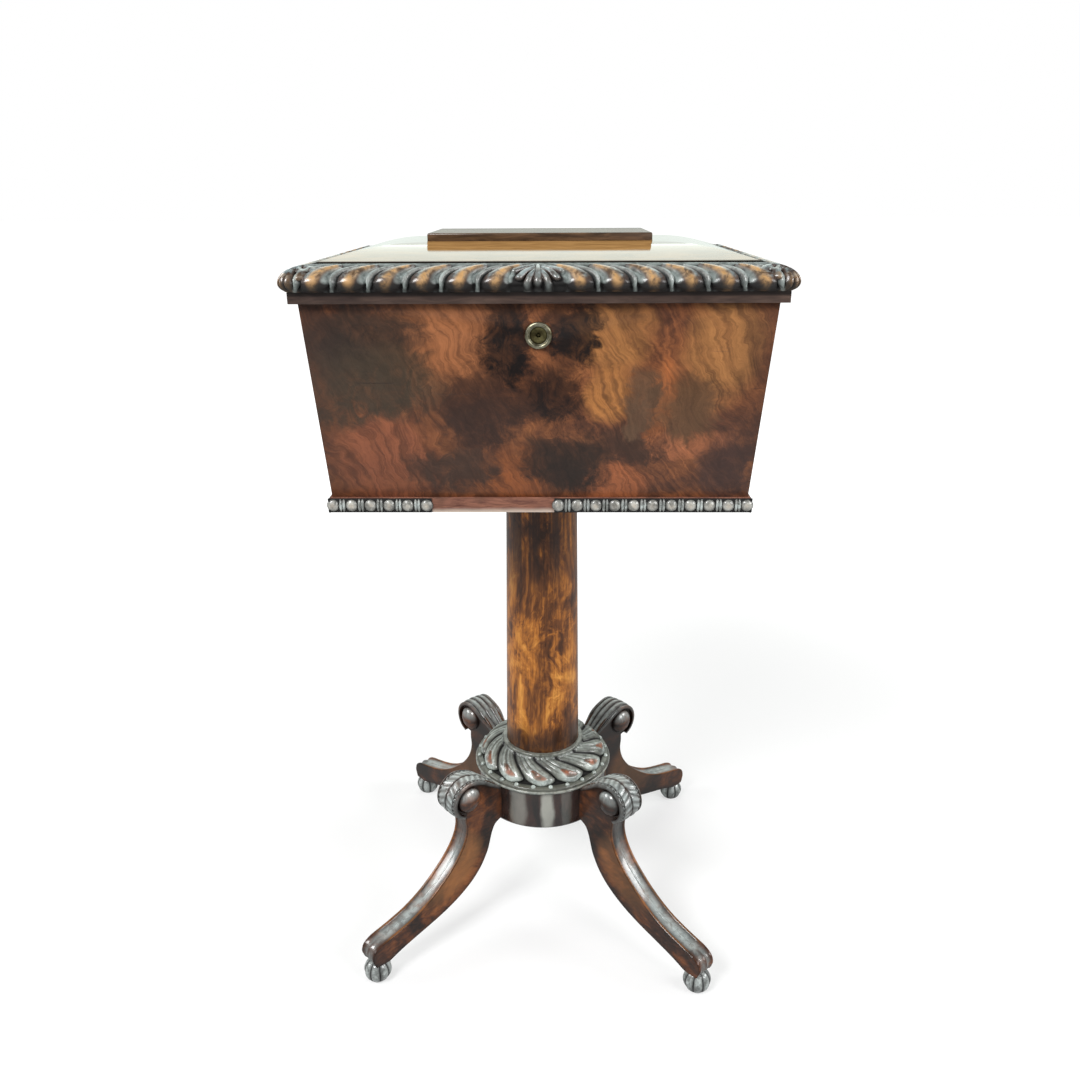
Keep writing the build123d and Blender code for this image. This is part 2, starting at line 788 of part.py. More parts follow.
def reel(back, front):
    """A thin flat disc seen on edge, between two beads."""
    wide = Plane.YZ.offset(back) * Rectangle(reel_width, reel_height)
    slim = Plane.YZ.offset(front) * Rectangle(reel_width * reel_rounding[0], reel_height * reel_rounding[1])
    return loft([wide, slim], ruled=True)


def make_bead_strip(side):
    edge = board_width / 2
    back = edge + bead_backing / 2
    front = bead_width / 2
    middle = (board_foot + carcass_foot) / 2
    strip = Pos(edge + bead_backing / 2, middle) * Rectangle(bead_backing, 2 * bead_radius)
    body = run(strip, side)
    length = bead_width if side in ("front", "back") else bead_width - narrower
    count = int(length / bead_pitch)
    bosses = []
    for index in range(count + 1):
        along = (index - count / 2) * bead_pitch
        bosses.append(Pos(0, along, middle) * bead(back, front))
        if index < count:
            bosses.append(Pos(0, along + bead_pitch / 2, middle) * reel(back, front - bead_backing))
    row = side_place(side) * Compound(children=bosses)
    return body + [boss & sector(side) for boss in row.solids()]


for side, opposite in (("front", "back"), ("right", "left")):
    strip = make_bead_strip(side)
    parts["bead_" + opposite] = Rot(0, 0, 180) * strip
    if side == "front":
        missing = block((break_from, break_to), (-far, 0), (0, far))
        strip = grouped([strip - missing])
    parts["bead_" + side] = strip


# ---------------------------------------------------------------------------
# Gadrooned moulding: an ovolo with slanted lobes that lean towards a leaf in the middle
# ---------------------------------------------------------------------------
def ovolo(relief):
    """Section of the moulding in (out, up), `relief` inside its outer skin."""
    inner = dome_foot_width / 2
    outer = gadroon_width / 2 - relief
    widest = band_top + gadroon_widest
    top = gadroon_top - relief
    under = gadroon_width / 2 - gadroon_under
    with BuildSketch() as section:
        with BuildLine():
            Polyline((inner, top), (inner, band_top), (under - relief, band_top))
            Spline((under - relief, band_top), (outer, widest), tangents=[(1, 0.1), (0, 1)])
            Spline((outer, widest), (inner, top), tangents=[(0, 1), (-1, 0.05)])
        make_face()
    return section.sketch


def placed(line, start, reach, sense):
    """A carving line, `reach` long for each unit of its first numbers, on one side of the middle."""
    return [(sense * (start + reach * share), up) for share, up in line]


def gadroon_marks(half_length):
    """Pen strokes on the sloping face of the moulding: (along, up the slope) and pen radii."""
    marks = []
    tip = rib_radius * 0.8
    room = half_length - leaf_half_width - 0.45 * lobe_pitch
    count = round(room / lobe_pitch)
    pitch = room / count
    for sense in (-1, 1):
        for index in range(count):
            at = leaf_half_width + (index + 0.5) * pitch
            lobe = placed(lobe_line, at, lobe_lean, sense)
            marks.append((lobe, (lobe_radius, lobe_taper * lobe_radius, tip)))
            rib = placed(rib_line, at, lobe_radius + 2.6 * rib_radius, sense)
            marks.append((rib, (tip, rib_radius, rib_radius, tip)))
        for line, radii in leaf_sprays:
            marks.append((placed(line, 0, 1, sense), radii))
    marks.append(leaf_rib)
    return marks


def gadroon_pen(mark):
    """Drives one pen stroke square into the slope, as a prism on the right-hand side."""
    points, radii = mark
    origin = (gadroon_width / 2 - slope_in, 0, band_top + slope_up)
    slope = Plane(origin=origin, x_dir=(0, 1, 0), z_dir=(1, 0, 1))
    return extrude(slope * stroke(points, radii), amount=gadroon_width / 8, both=True)


def corner_pen():
    """The leaf that wraps a corner: a fan of blades from its root, drawn in plan."""
    fan = []
    for turn, length, radius in corner_blades:
        fan.append(Rot(0, 0, turn) * stroke([(0, 0), (length, 0)], (corner_blade_root, radius)))
    plan = fan[0] + fan[1:]
    return extrude(plan, amount=far, dir=(0, 0, 1))


def make_gadroon(side):
    outer_run = run(ovolo(0), side)
    half_length = gadroon_width / 2 if side in ("front", "back") else (gadroon_width - narrower) / 2
    place = side_place(side)
    prisms = [place * gadroon_pen(mark) for mark in gadroon_marks(half_length)]
    corner = Pos(gadroon_width / 2 - corner_leaf, half_length - corner_leaf, 0) * corner_pen()
    prisms += [place * corner, place * mirror(corner, Plane.XZ)]
    return run(ovolo(gadroon_relief), side) + (outer_run & (prisms[0] + prisms[1:]))


for side, opposite in (("front", "back"), ("right", "left")):
    moulding = make_gadroon(side)
    parts["gadroon_" + side] = moulding
    parts["gadroon_" + opposite] = Rot(0, 0, 180) * moulding


# ---------------------------------------------------------------------------
# Lid: mitred frame, cushion dome, tablet and lining
# ---------------------------------------------------------------------------
def make_frame():
    outer = band_width / 2
    inner = outer - frame_rail
    ledge = inner - frame_ledge
    step = dome_foot_width / 2
    ceiling = lid_foot + recess_height + lining_thickness
    profile = Polygon((inner, lid_foot), (outer, lid_foot), (outer, band_top), (step, band_top),
                      (step, frame_top), (ledge, frame_top), (ledge, ceiling), (inner, ceiling), align=None)
    rails = {side: run(profile, side) for side in turns}
    back = rails["back"]
    for cut in leaf_recess(lid_foot - overrun, lid_foot + hinge_leaf + glue_gap, carcass_back):
        back = back - cut
    room = hinge_radius + 2 * sliding_fit
    for side in (-1, 1):
        half = hinge_length / 2 + sliding_fit
        back = back - block((side * hinge_at - half, side * hinge_at + half),
                            (hinge_y - room, far), (lid_foot - overrun, hinge_z + room))
    for place in hinge_screw_places(lid_foot, True):
        back = back - place * screw_hole(brass_screw)
    half_x = selvedge_length / 2 + glue_gap
    half_y = selvedge_width / 2 + glue_gap
    front = rails["front"] - block((-half_x, half_x), (selvedge_y - half_y, selvedge_y + half_y),
                                   (lid_foot - overrun, lid_foot + selvedge_thickness + glue_gap))
    for place in link_places:
        front = front - place * screw_hole(brass_screw)
    rails["back"] = back
    rails["front"] = front
    return grouped(rails.values())


def cushion_profile(foot, top):
    """The dome's section across one direction, half as wide as `foot` at its edge."""
    middle = ((foot + top) / 2, (gadroon_top + dome_top) / 2 + dome_bulge)
    with BuildSketch(Plane.XZ) as section:
        with BuildLine():
            Polyline((top, dome_top), (-top, dome_top))
            ThreePointArc((-top, dome_top), (-middle[0], middle[1]), (-foot, gadroon_top))
            Polyline((-foot, gadroon_top), (-foot, frame_top), (foot, frame_top), (foot, gadroon_top))
            ThreePointArc((foot, gadroon_top), middle, (top, dome_top))
        make_face()
    return section.sketch


def make_dome():
    across = extrude(cushion_profile(dome_foot_width / 2, tablet_width / 2), amount=far, both=True)
    along = extrude(cushion_profile(dome_foot_width / 2 - half_less, tablet_width / 2 - half_less),
                    amount=far, both=True)
    whole = across & (Rot(0, 0, 90) * along)
    return whole - Pos(0, 0, -dome_thickness) * whole


def make_tablet():
    body = layer(tablet_width, tablet_width, dome_top, dome_top + tablet_height)
    return fillet(body.faces().sort_by(Axis.Z)[-1].edges(), tablet_edge)


def make_lining():
    width = band_width - 2 * frame_rail - 2 * sliding_fit
    foot = lid_foot + recess_height
    return layer(width, width, foot, foot + lining_thickness)


parts["lid_frame"] = make_frame()
parts["lid_dome"] = make_dome()
parts["lid_tablet"] = make_tablet()
parts["lid_lining"] = make_lining()

# ---------------------------------------------------------------------------
# Fitted inside: partitions, the deck for the bowls, canisters and bowls
# ---------------------------------------------------------------------------
inside_foot_width = carcass_foot_width - 2 * wall
hollow = layer(inside_foot_width - 2 * glue_gap, carcass_top_width - 2 * wall - 2 * glue_gap,
               carcass_foot, carcass_top)


def make_partition(sense):
    near, away = sorted((sense * bay_half_width, sense * (bay_half_width + partition)))
    return hollow & block((near, away), (-far, far), (carcass_foot, deck_top))


def make_cross_partitions():
    boards = []
    start = bay_half_width + partition + glue_gap
    top = carcass_foot + cross_height
    for x_range in ((-far, -start), (start, far)):
        boards.append(hollow & block(x_range, (-partition / 2, partition / 2), (carcass_foot, top)))
    return grouped(boards)


def make_deck():
    half = bay_half_width - glue_gap
    deck = hollow & block((-half, half), (-far, far), (deck_top - deck_thickness, deck_top))
    for sense in (-1, 1):
        hole = rod(bowl_radius + sliding_fit, deck_top - 2 * deck_thickness, deck_top + overrun)
        deck = deck - Pos(0, sense * bowl_at, 0) * hole
    return deck


canister_x0 = bay_half_width + partition + canister_fit
canister_x1 = inside_foot_width / 2 - canister_fit
canister_y0 = partition / 2 + canister_fit
canister_y1 = (inside_foot_width - narrower) / 2 - canister_fit


def make_canister():
    body = block((canister_x0, canister_x1), (canister_y0, canister_y1), (carcass_foot, canister_top))
    room = block((canister_x0 + canister_wall, canister_x1 - canister_wall),
                 (canister_y0 + canister_wall, canister_y1 - canister_wall),
                 (carcass_foot + canister_wall, canister_top + overrun))
    return body - room


def make_canister_lid():
    plate = block((canister_x0, canister_x1), (canister_y0, canister_y1), (canister_top, canister_lid_top))
    plate = chamfer(plate.faces().sort_by(Axis.Z)[-1].edges(), canister_lid_height / 4)
    inset = canister_wall + lid_fit
    plug = block((canister_x0 + inset, canister_x1 - inset), (canister_y0 + inset, canister_y1 - inset),
                 (canister_top - canister_lid_plug, canister_top + overrun))
    hole = rod(knob_peg_radius + glue_gap, canister_lid_top - knob_peg_depth - glue_gap,
               canister_lid_top + overrun)
    return plate + plug - knob_place() * hole


def knob_place():
    return Pos((canister_x0 + canister_x1) / 2, (canister_y0 + canister_y1) / 2, 0)


def make_knob():
    seat = canister_lid_top
    crown = (0, seat + knob_height)
    neck_top = (knob_neck, seat + knob_neck_to)
    with BuildSketch(Plane.XZ) as outline:
        with BuildLine():
            Polyline(crown, (0, seat - knob_peg_depth), (knob_peg_radius, seat - knob_peg_depth),
                     (knob_peg_radius, seat), (knob_foot_radius, seat), (knob_neck, seat + knob_neck_from),
                     neck_top)
            Spline(neck_top, (knob_radius, seat + knob_ball_level), crown, tangents=[(1, 0.3), (-1, 0)])
        make_face()
    return knob_place() * revolve(outline.sketch, Axis.Z)


def make_bowl():
    """A flared glass bowl whose turned-out rim rests on the deck."""
    foot = deck_top - bowl_depth
    inner = bowl_radius - bowl_glass
    rim_top_z = deck_top + bowl_rim_height
    floor_edge = (bowl_foot_radius - bowl_glass, foot + 2 * bowl_glass)
    with BuildSketch(Plane.XZ) as outline:
        with BuildLine():
            Polyline((0, floor_edge[1]), (0, foot), (bowl_foot_radius, foot))
            Spline((bowl_foot_radius, foot), (bowl_radius, deck_top), tangents=[(1, 0.9), (0, 1)])
            Polyline((bowl_radius, deck_top), (bowl_radius + bowl_rim, deck_top),
                     (bowl_radius + bowl_rim, rim_top_z), (inner, rim_top_z), (inner, deck_top))
            Spline((inner, deck_top), floor_edge, tangents=[(0, -1), (-1, -0.8)])
            Line(floor_edge, (0, floor_edge[1]))
        make_face()
    return revolve(outline.sketch, Axis.Z)


parts["partition_left"] = make_partition(-1)
parts["partition_right"] = make_partition(1)
parts["cross_partitions"] = make_cross_partitions()
parts["bowl_deck"] = make_deck()
canister, canister_lid, knob, bowl = make_canister(), make_canister_lid(), make_knob(), make_bowl()
for front_back, y_sense in (("front", -1), ("back", 1)):
    parts["glass_bowl_" + front_back] = Pos(0, y_sense * bowl_at, 0) * bowl
    for left_right, x_sense in (("left", -1), ("right", 1)):
        name = "canister_" + front_back + "_" + left_right
        for suffix, shape in (("", canister), ("_lid", canister_lid), ("_knob", knob)):
            shape = shape if x_sense > 0 else mirror(shape, Plane.YZ)
            shape = shape if y_sense > 0 else mirror(shape, Plane.XZ)
            parts[name + suffix] = shape

# ---------------------------------------------------------------------------
# One STEP file for each piece
# ---------------------------------------------------------------------------
os.makedirs("parts", exist_ok=True)
for name, shape in parts.items():
    shape.label = name
    export_step(shape, "parts/" + name + ".step")
print(len(parts), "nodes")
print("lock plane", lock_plane.origin, lock_plane.z_dir)
print("hinge axis y, z", hinge_y, hinge_z)
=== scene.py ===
# %% [markdown]
# # A teapoy, dressed
#
# A teapoy is a tea chest on a pillar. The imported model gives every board, joint and level of it,
# and this lesson dresses that model: carved mouldings, scrolled legs, flame veneer, polish and wear.
# Every new shape is worked out as whole numpy arrays, and every finish is a network of shader nodes.
#
# Lengths are in millimetres, as a cabinetmaker writes them. `MM` turns them into metres
# at the one place where a mesh is made.

import bmesh
import bpy
import numpy as np
from mathutils import Matrix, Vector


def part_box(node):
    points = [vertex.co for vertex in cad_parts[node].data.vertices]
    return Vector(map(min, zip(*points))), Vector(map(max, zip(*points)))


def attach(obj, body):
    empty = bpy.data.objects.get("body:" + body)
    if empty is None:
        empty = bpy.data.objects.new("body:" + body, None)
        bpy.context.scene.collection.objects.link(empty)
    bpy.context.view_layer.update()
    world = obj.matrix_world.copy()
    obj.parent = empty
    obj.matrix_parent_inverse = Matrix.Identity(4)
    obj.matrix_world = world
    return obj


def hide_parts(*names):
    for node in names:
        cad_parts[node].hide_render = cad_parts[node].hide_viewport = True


MM = 0.001
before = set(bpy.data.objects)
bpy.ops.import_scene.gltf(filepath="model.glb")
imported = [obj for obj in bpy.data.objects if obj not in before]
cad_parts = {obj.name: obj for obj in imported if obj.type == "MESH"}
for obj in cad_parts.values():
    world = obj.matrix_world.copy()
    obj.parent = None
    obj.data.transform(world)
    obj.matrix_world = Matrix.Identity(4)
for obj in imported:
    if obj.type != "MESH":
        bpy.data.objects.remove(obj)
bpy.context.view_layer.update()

# %% Sizes that the model gives


def span(node):
    """Lowest and highest corner of a node, in millimetres."""
    low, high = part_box(node)
    return np.array(low) / MM, np.array(high) / MM


board_low, board_high = span("bottom_board")
dome_low, dome_high = span("lid_dome")
tablet_low, tablet_high = span("lid_tablet")
drum_low, drum_high = span("drum")
collar_low, collar_high = span("carved_collar")
rail_low = span("lid_frame")[0]
bearer_low = span("bearer")[0]
rim_high = span("base_rim")[1]
lid_half = span("gadroon_right")[1][0]
lid_narrower = 47.5
narrow_half = lid_half - lid_narrower
print("lid:", lid_half * 2, "wide,", narrow_half * 2, "deep; tablet top at", round(tablet_high[2], 1))

# %% [markdown]
# ## From numbers to a mesh
#
# A surface is a grid of points, and four neighbours on the grid make a face. A moulding, a turned
# pillar or a carved leg differ only in the formula that places the points. Where rows meet, or shrink
# to a pole, the doubles are merged afterwards, so that every shell is closed.

# %% Grids, shells and pieces


def grid(points, closed=False, **layers):
    """A shell from points[row, column]; `closed` joins the last column of cells to the first."""
    rows, columns = points.shape[:2]
    index = np.arange(rows * columns).reshape(rows, columns)
    if closed:
        index = np.hstack([index, index[:, :1]])
    faces = np.stack([index[:-1, :-1], index[:-1, 1:], index[1:, 1:], index[1:, :-1]], axis=-1)
    flat = {key: np.broadcast_to(value, (rows, columns)).ravel() for key, value in layers.items()}
    return points.reshape(-1, 3), faces.reshape(-1, 4), flat


def moved(shell, turn=0.0, shift=(0, 0, 0), flip=False):
    """The same shell turned about Z by `turn` degrees, then shifted; `flip` mirrors it in Y first."""
    points, faces, layers = shell
    points = points * np.array([1, -1, 1]) if flip else points
    c, s = np.cos(np.radians(turn)), np.sin(np.radians(turn))
    turned_points = points @ np.array([[c, s, 0], [-s, c, 0], [0, 0, 1]])
    return turned_points + np.array(shift), faces, layers


def join(shells):
    """Several shells as one, with the union of their layers."""
    starts = np.cumsum([0] + [len(points) for points, _, _ in shells[:-1]])
    keys = sorted({key for _, _, layers in shells for key in layers})
    points = np.vstack([points for points, _, _ in shells])
    faces = np.vstack([faces + start for (_, faces, _), start in zip(shells, starts)])
    layers = {key: np.concatenate([part.get(key, np.zeros(len(own))) for own, _, part in shells])
              for key in keys}
    return points, faces, layers


def piece(name, shell, body, material, stands_for=(), sharp=32.0):
    """Puts a shell into a mesh in metres, closes its seams, turns its faces outwards and lets it ride."""
    points, faces, layers = shell
    mesh = bpy.data.meshes.new(name)
    mesh.vertices.add(len(points))
    mesh.vertices.foreach_set("co", (points * MM).astype(np.float32).ravel())
    mesh.loops.add(faces.size)
    mesh.loops.foreach_set("vertex_index", faces.astype(np.int32).ravel())
    mesh.polygons.add(len(faces))
    mesh.polygons.foreach_set("loop_start", np.arange(0, faces.size, 4, dtype=np.int32))
    mesh.update(calc_edges=True)
    for key, values in layers.items():
        mesh.attributes.new(key, "FLOAT", "POINT").data.foreach_set("value", values.astype(np.float32))
    sew(mesh, sharp)
    made = bpy.data.objects.new(name, mesh)
    bpy.context.scene.collection.objects.link(made)
    mesh.materials.append(material)
    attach(made, body)
    if stands_for:
        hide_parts(*stands_for)
    print(name, len(mesh.polygons), "faces")
    return made


def sew(mesh, sharp):
    """Merges doubles, points the faces outwards and keeps edges steeper than `sharp` degrees crisp."""
    work = bmesh.new()
    work.from_mesh(mesh)
    bmesh.ops.remove_doubles(work, verts=work.verts, dist=2e-6)
    bmesh.ops.dissolve_degenerate(work, edges=work.edges, dist=1e-7)
    bmesh.ops.recalc_face_normals(work, faces=work.faces)
    work.to_mesh(mesh)
    work.free()
    mesh.shade_smooth()
    mesh.set_sharp_from_angle(angle=np.radians(sharp))


# %% Curves and turned work


def smooth_line(knots, count):
    """Catmull-Rom curve: passes through every knot, with `count` points spread evenly over the knots."""
    knots = np.asarray(knots, float)
    padded = np.vstack([2 * knots[0] - knots[1], knots, 2 * knots[-1] - knots[-2]])
    where = np.linspace(0, len(knots) - 1, count)
    start = np.minimum(where.astype(int), len(knots) - 2)
    t = (where - start)[:, None]
    p0, p1, p2, p3 = (padded[start + step] for step in range(4))
    return 0.5 * (2 * p1 + (p2 - p0) * t + (2 * p0 - 5 * p1 + 4 * p2 - p3) * t**2
                  + (3 * p1 - p0 - 3 * p2 + p3) * t**3)


def around(radius, angle, level):
    """Points at a radius and an angle round the Z axis: (radius cos angle, radius sin angle, level)."""
    return np.stack([radius * np.cos(angle), radius * np.sin(angle), level + 0 * angle], axis=-1)


def lathe(profile, steps, **layers):
    """Turns an outline of (radius, height) about the Z axis."""
    profile = np.asarray(profile, float)
    angle = np.linspace(0, 2 * np.pi, steps, endpoint=False)
    points = around(profile[:, 0][:, None], angle, profile[:, 1][:, None])
    return grid(points, closed=True, **layers)


def arc(centre, radii, start, end, count):
    """Part of an ellipse from one angle to another, in degrees."""
    angle = np.radians(np.linspace(start, end, count))
    return np.stack([centre[0] + radii[0] * np.cos(angle), centre[1] + radii[1] * np.sin(angle)], axis=-1)


def pen(along, up, line, radii):
    """Height of a half-round carving stroke: 1 on its line, 0 at its edge, with a radius that changes."""
    line, radii = np.asarray(line, float), np.asarray(radii, float)
    best = np.zeros(np.broadcast(along, up).shape)
    for a, b, ra, rb in zip(line[:-1], line[1:], radii[:-1], radii[1:]):
        step = b - a
        t = np.clip(((along - a[0]) * step[0] + (up - a[1]) * step[1]) / (step @ step), 0, 1)
        gap = np.hypot(along - a[0] - t * step[0], up - a[1] - t * step[1])
        best = np.maximum(best, 1 - (gap / (ra + (rb - ra) * t)) ** 2)
    return np.sqrt(np.clip(best, 0, 1))


def with_ends(**layers):
    """Layers of a grid that got one more row at each end."""
    return {key: np.vstack([value[:1], value, value[-1:]]) for key, value in layers.items()}


def capped(points):
    """A tube's rows with a row drawn together to a point at each end."""
    ends = [np.broadcast_to(row.mean(axis=0), row.shape)[None] for row in (points[0], points[-1])]
    return np.concatenate([ends[0], points, ends[1]])


def fade(value, low, high):
    """Goes smoothly from 0 at `low` to 1 at `high`."""
    t = np.clip((value - low) / (high - low), 0, 1)
    return t * t * (3 - 2 * t)


# %% [markdown]
# ## Finishes as expressions
#
# A shader network is arithmetic on a surface. The `Flow` class wraps a socket, so that
# `1 - mask * 0.4` adds its own Math nodes, and `Finish.node` adds any other kind of node in one call.

# %% A socket that does arithmetic


class Flow:
    """An output socket that adds Math nodes when it is used in an expression."""

    def __init__(self, finish, socket):
        self.finish = finish
        self.socket = socket

    def sum_of(self, operation, *values):
        return self.finish.node("ShaderNodeMath", {"operation": operation}, dict(enumerate(values)))

    def __add__(self, other):
        return self.sum_of("ADD", self, other)

    def __sub__(self, other):
        return self.sum_of("SUBTRACT", self, other)

    def __rsub__(self, other):
        return self.sum_of("SUBTRACT", other, self)

    def __mul__(self, other):
        return self.sum_of("MULTIPLY", self, other)

    def __pow__(self, other):
        return self.sum_of("POWER", self, other)

    __radd__ = __add__
    __rmul__ = __mul__

    def size(self):
        return self.sum_of("ABSOLUTE", self)

    def between(self, low, high):
        """0 at `low` and 1 at `high`, smoothly."""
        settings = {"interpolation_type": "SMOOTHSTEP"}
        return self.finish.node("ShaderNodeMapRange", settings, {0: self, 1: low, 2: high, 3: 0.0, 4: 1.0})


class Finish:
    """One material, or the world, while it is being mixed."""

    def __init__(self, name, world=False):
        self.material = (bpy.data.worlds if world else bpy.data.materials).new(name)
        self.material.use_nodes = True
        self.tree = self.material.node_tree
        self.tree.nodes.clear()

    def node(self, kind, settings=None, sockets=None, output=0):
        """Adds a node: its settings first, then the values or links of its sockets."""
        made = self.tree.nodes.new(kind)
        for key, value in (settings or {}).items():
            if key == "stops":
                ramp = made.color_ramp
                while len(ramp.elements) < len(value):
                    ramp.elements.new(0.5)
                for element, (place, colour) in zip(ramp.elements, value):
                    element.position = place
                    element.color = (*colour, 1.0)
            else:
                setattr(made, key, value)
        for key, value in (sockets or {}).items():
            if isinstance(value, Flow):
                self.tree.links.new(value.socket, made.inputs[key])
            else:
                made.inputs[key].default_value = value
        return Flow(self, made.outputs[output]) if len(made.outputs) else None

    def place(self, scale=(1, 1, 1), shift=(0, 0, 0)):
        """Object coordinates in metres, stretched and shifted."""
        here = self.node("ShaderNodeTexCoord", output=3)
        return self.node("ShaderNodeMapping", {}, {0: here, 1: shift, 3: scale})

    def here(self):
        """Object coordinates as three numbers."""
        split = self.node("ShaderNodeSeparateXYZ", {}, {0: self.place()}).socket.node
        return [Flow(self, socket) for socket in split.outputs]

    def point(self, x, y, z):
        return self.node("ShaderNodeCombineXYZ", {}, {0: x, 1: y, 2: z})

    def noise(self, vector, detail=4.0, rough=0.55, warp=0.0):
        sockets = {"Vector": vector, "Scale": 1.0, "Detail": detail, "Roughness": rough, "Distortion": warp}
        return self.node("ShaderNodeTexNoise", {}, sockets)

    def cloud(self, scale, detail=4.0, rough=0.55, warp=0.0, shift=(0, 0, 0)):
        """Noise on Object coordinates; `scale` is how fine it is, as one number or along each axis."""
        scale = scale if isinstance(scale, tuple) else (scale, scale, scale)
        return self.noise(self.place(scale, shift), detail, rough, warp)

    def ramp(self, value, stops):
        return self.node("ShaderNodeValToRGB", {"stops": stops}, {0: value})

    def mix(self, share, first, second):
        """A colour between two colours."""
        first = first if isinstance(first, Flow) else (*first, 1.0)
        second = second if isinstance(second, Flow) else (*second, 1.0)
        return self.node("ShaderNodeMix", {"data_type": "RGBA"}, {0: share, 6: first, 7: second}, output=2)

    def lit(self, colour, factor):
        """A colour made darker or lighter by a number."""
        return self.node("ShaderNodeVectorMath", {"operation": "SCALE"}, {0: colour, 3: factor})

    def seen(self):
        """1 to the camera and through glass; 0 where a surface gathers or mirrors light."""
        straight = self.node("ShaderNodeLightPath", output="Is Camera Ray")
        return straight + self.node("ShaderNodeLightPath", output="Is Transmission Ray")

    def spot(self, across, up, centre, half):
        """1 within an oval, given in millimetres, that fades out round its rim."""
        right = (across - centre[0] * MM) * (1 / (half[0] * MM))
        high = (up - centre[1] * MM) * (1 / (half[1] * MM))
        return (right * right + high * high).between(1.7, 0.25)

    def layer(self, name):
        """A number that the mesh carries at each point."""
        return self.node("ShaderNodeAttribute", {"attribute_name": name}, {}, output=2)

    def bump(self, height, depth):
        """A bump of `depth` millimetres."""
        return self.node("ShaderNodeBump", {}, {"Height": height, "Distance": depth * MM, "Strength": 1.0})

    def principled(self, **sockets):
        """The Principled shader: underscores in a socket's name stand for spaces."""
        named = {key.replace("_", " "): value for key, value in sockets.items()}
        for key, value in named.items():
            if key.endswith("Color") and not isinstance(value, Flow):
                named[key] = (*value, 1.0)
        return self.node("ShaderNodeBsdfPrincipled", {}, named)

    def surface(self, worn=0, **sockets):
        """Finishes the material; the share `worn` of it has lost its polish and keeps only its colour."""
        shader = self.principled(**sockets)
        if isinstance(worn, Flow):
            bare = self.principled(Base_Color=sockets["Base_Color"], Roughness=0.9, Specular_IOR_Level=0.0)
            shader = self.node("ShaderNodeMixShader", {}, {0: worn, 1: shader, 2: bare})
        self.node("ShaderNodeOutputMaterial", {}, {0: shader})
        return self.material


def tint(red, green, blue):
    """A colour as it is seen on screen, 0 to 255, turned into the light that it stands for."""
    seen = np.array([red, green, blue]) / 255
    return tuple(np.where(seen <= 0.04045, seen / 12.92, ((seen + 0.055) / 1.055) ** 2.4).tolist())


# %% [markdown]
# ## Mahogany, old and polished
#
# The chest wears flame veneer: mahogany cut through a fork of the tree, so that pale feathers sweep out
# from a dark stem. The feathers are a noise read in coordinates that lean and bend, with stains and lit
# streaks laid over it. Round the pillar the same wood is read upright, with painted shade at its top. The lid
# is golden wood under a mirror polish, with a painted reflection before the tablet and a painted shade line;
# the drum is nearly black, with painted glints; carved work is black in its hollows, rubbed golden on its
# crests and painted silvery where highlights fall; and the legs are redder, with painted shade and light.
# Wear, painted highlights and painted shade that follow a carved shape are worked out with the shape and
# kept in its mesh, as layers that the finish reads.

# %% Flame veneer for the chest


def flame_veneer(name, across, marks=(), glows=(), lean=0.55):
    """Leaning streaks over clouds; `marks` are stains and `glows` lit streaks: place, half size, colour."""
    f = Finish(name)
    x, y, z = f.here()
    side = x if across == "x" else y
    drift = f.cloud((7, 7, 9), 3.0, 0.55, 0.6)
    swirl = f.cloud((21, 21, 26), 4.0, 0.6, 0.4, shift=(0.7, 0.2, 0.1))
    blots = f.cloud((46, 46, 58), 5.0, 0.7, 1.0, shift=(0.2, 0.9, 0.4))
    specks = f.cloud((58, 58, 44), 5.0, 0.7, 1.0, shift=(0.6, 0.3, 0.8))
    u = side + (drift - 0.5) * 0.05 + (swirl - 0.5) * 0.018
    v = z + (swirl - 0.5) * 0.035 + (drift - 0.5) * 0.03
    slant = u + v * lean
    streaks = f.noise(f.point(slant * 150.0, v * 12.0, u * 8.0), 6.0, 0.68, 0.25)
    fine = f.noise(f.point(slant * 620.0, v * 70.0, 0.0), 4.0, 0.7, 0.3)
    clouds = f.cloud((8, 8, 11), 4.0, 0.6, 0.8, shift=(0.4, 0.1, 0.3))
    tone = streaks * 0.30 + clouds * 0.60 + blots * 0.22 - 0.07
    colour = f.ramp(tone, [(0.34, tint(46, 32, 28)), (0.46, tint(88, 54, 38)), (0.56, tint(128, 78, 48)),
                           (0.68, tint(154, 98, 58))])
    across_mark = u + (blots - 0.5) * 0.055
    up_mark = v + (specks - 0.5) * 0.055
    for centre, half, shade in glows:
        mask = f.spot(u, v, centre, half)
        colour = f.mix(mask * (0.34 + streaks.between(0.30, 0.66) * 0.52), colour, tint(*shade))
    for centre, half, shade in marks:
        mask = f.spot(across_mark, up_mark, centre, half)
        colour = f.mix(mask * (0.80 + specks.between(0.35, 0.6) * 0.18), colour, tint(*shade))
    grain = (streaks * 0.40 + fine * 0.34 + blots * 0.26).between(0.36, 0.64)
    colour = f.lit(colour, 0.78 + grain * 0.46)
    edges = side.size().between(0.165, 0.205)
    colour = f.mix(edges * 0.45, colour, tint(54, 36, 30))
    cracks = f.noise(f.point(side * 9.0, z * 700.0, 0.0), 2.0, 0.5).between(0.735, 0.76)
    cracks = cracks * z.between(0.60, 0.66)
    colour = f.mix(cracks * 0.7, colour, tint(34, 24, 20))
    rough = 0.30 + clouds * 0.14 + cracks * 0.3
    return f.surface(Base_Color=colour, Roughness=rough, Specular_IOR_Level=0.3, Coat_Weight=0.2,
                     Coat_Roughness=0.2, Normal=f.bump(streaks * 0.6 + fine * 0.4 - cracks * 2.0, 0.08))


# %% Flame veneer wrapped round the pillar


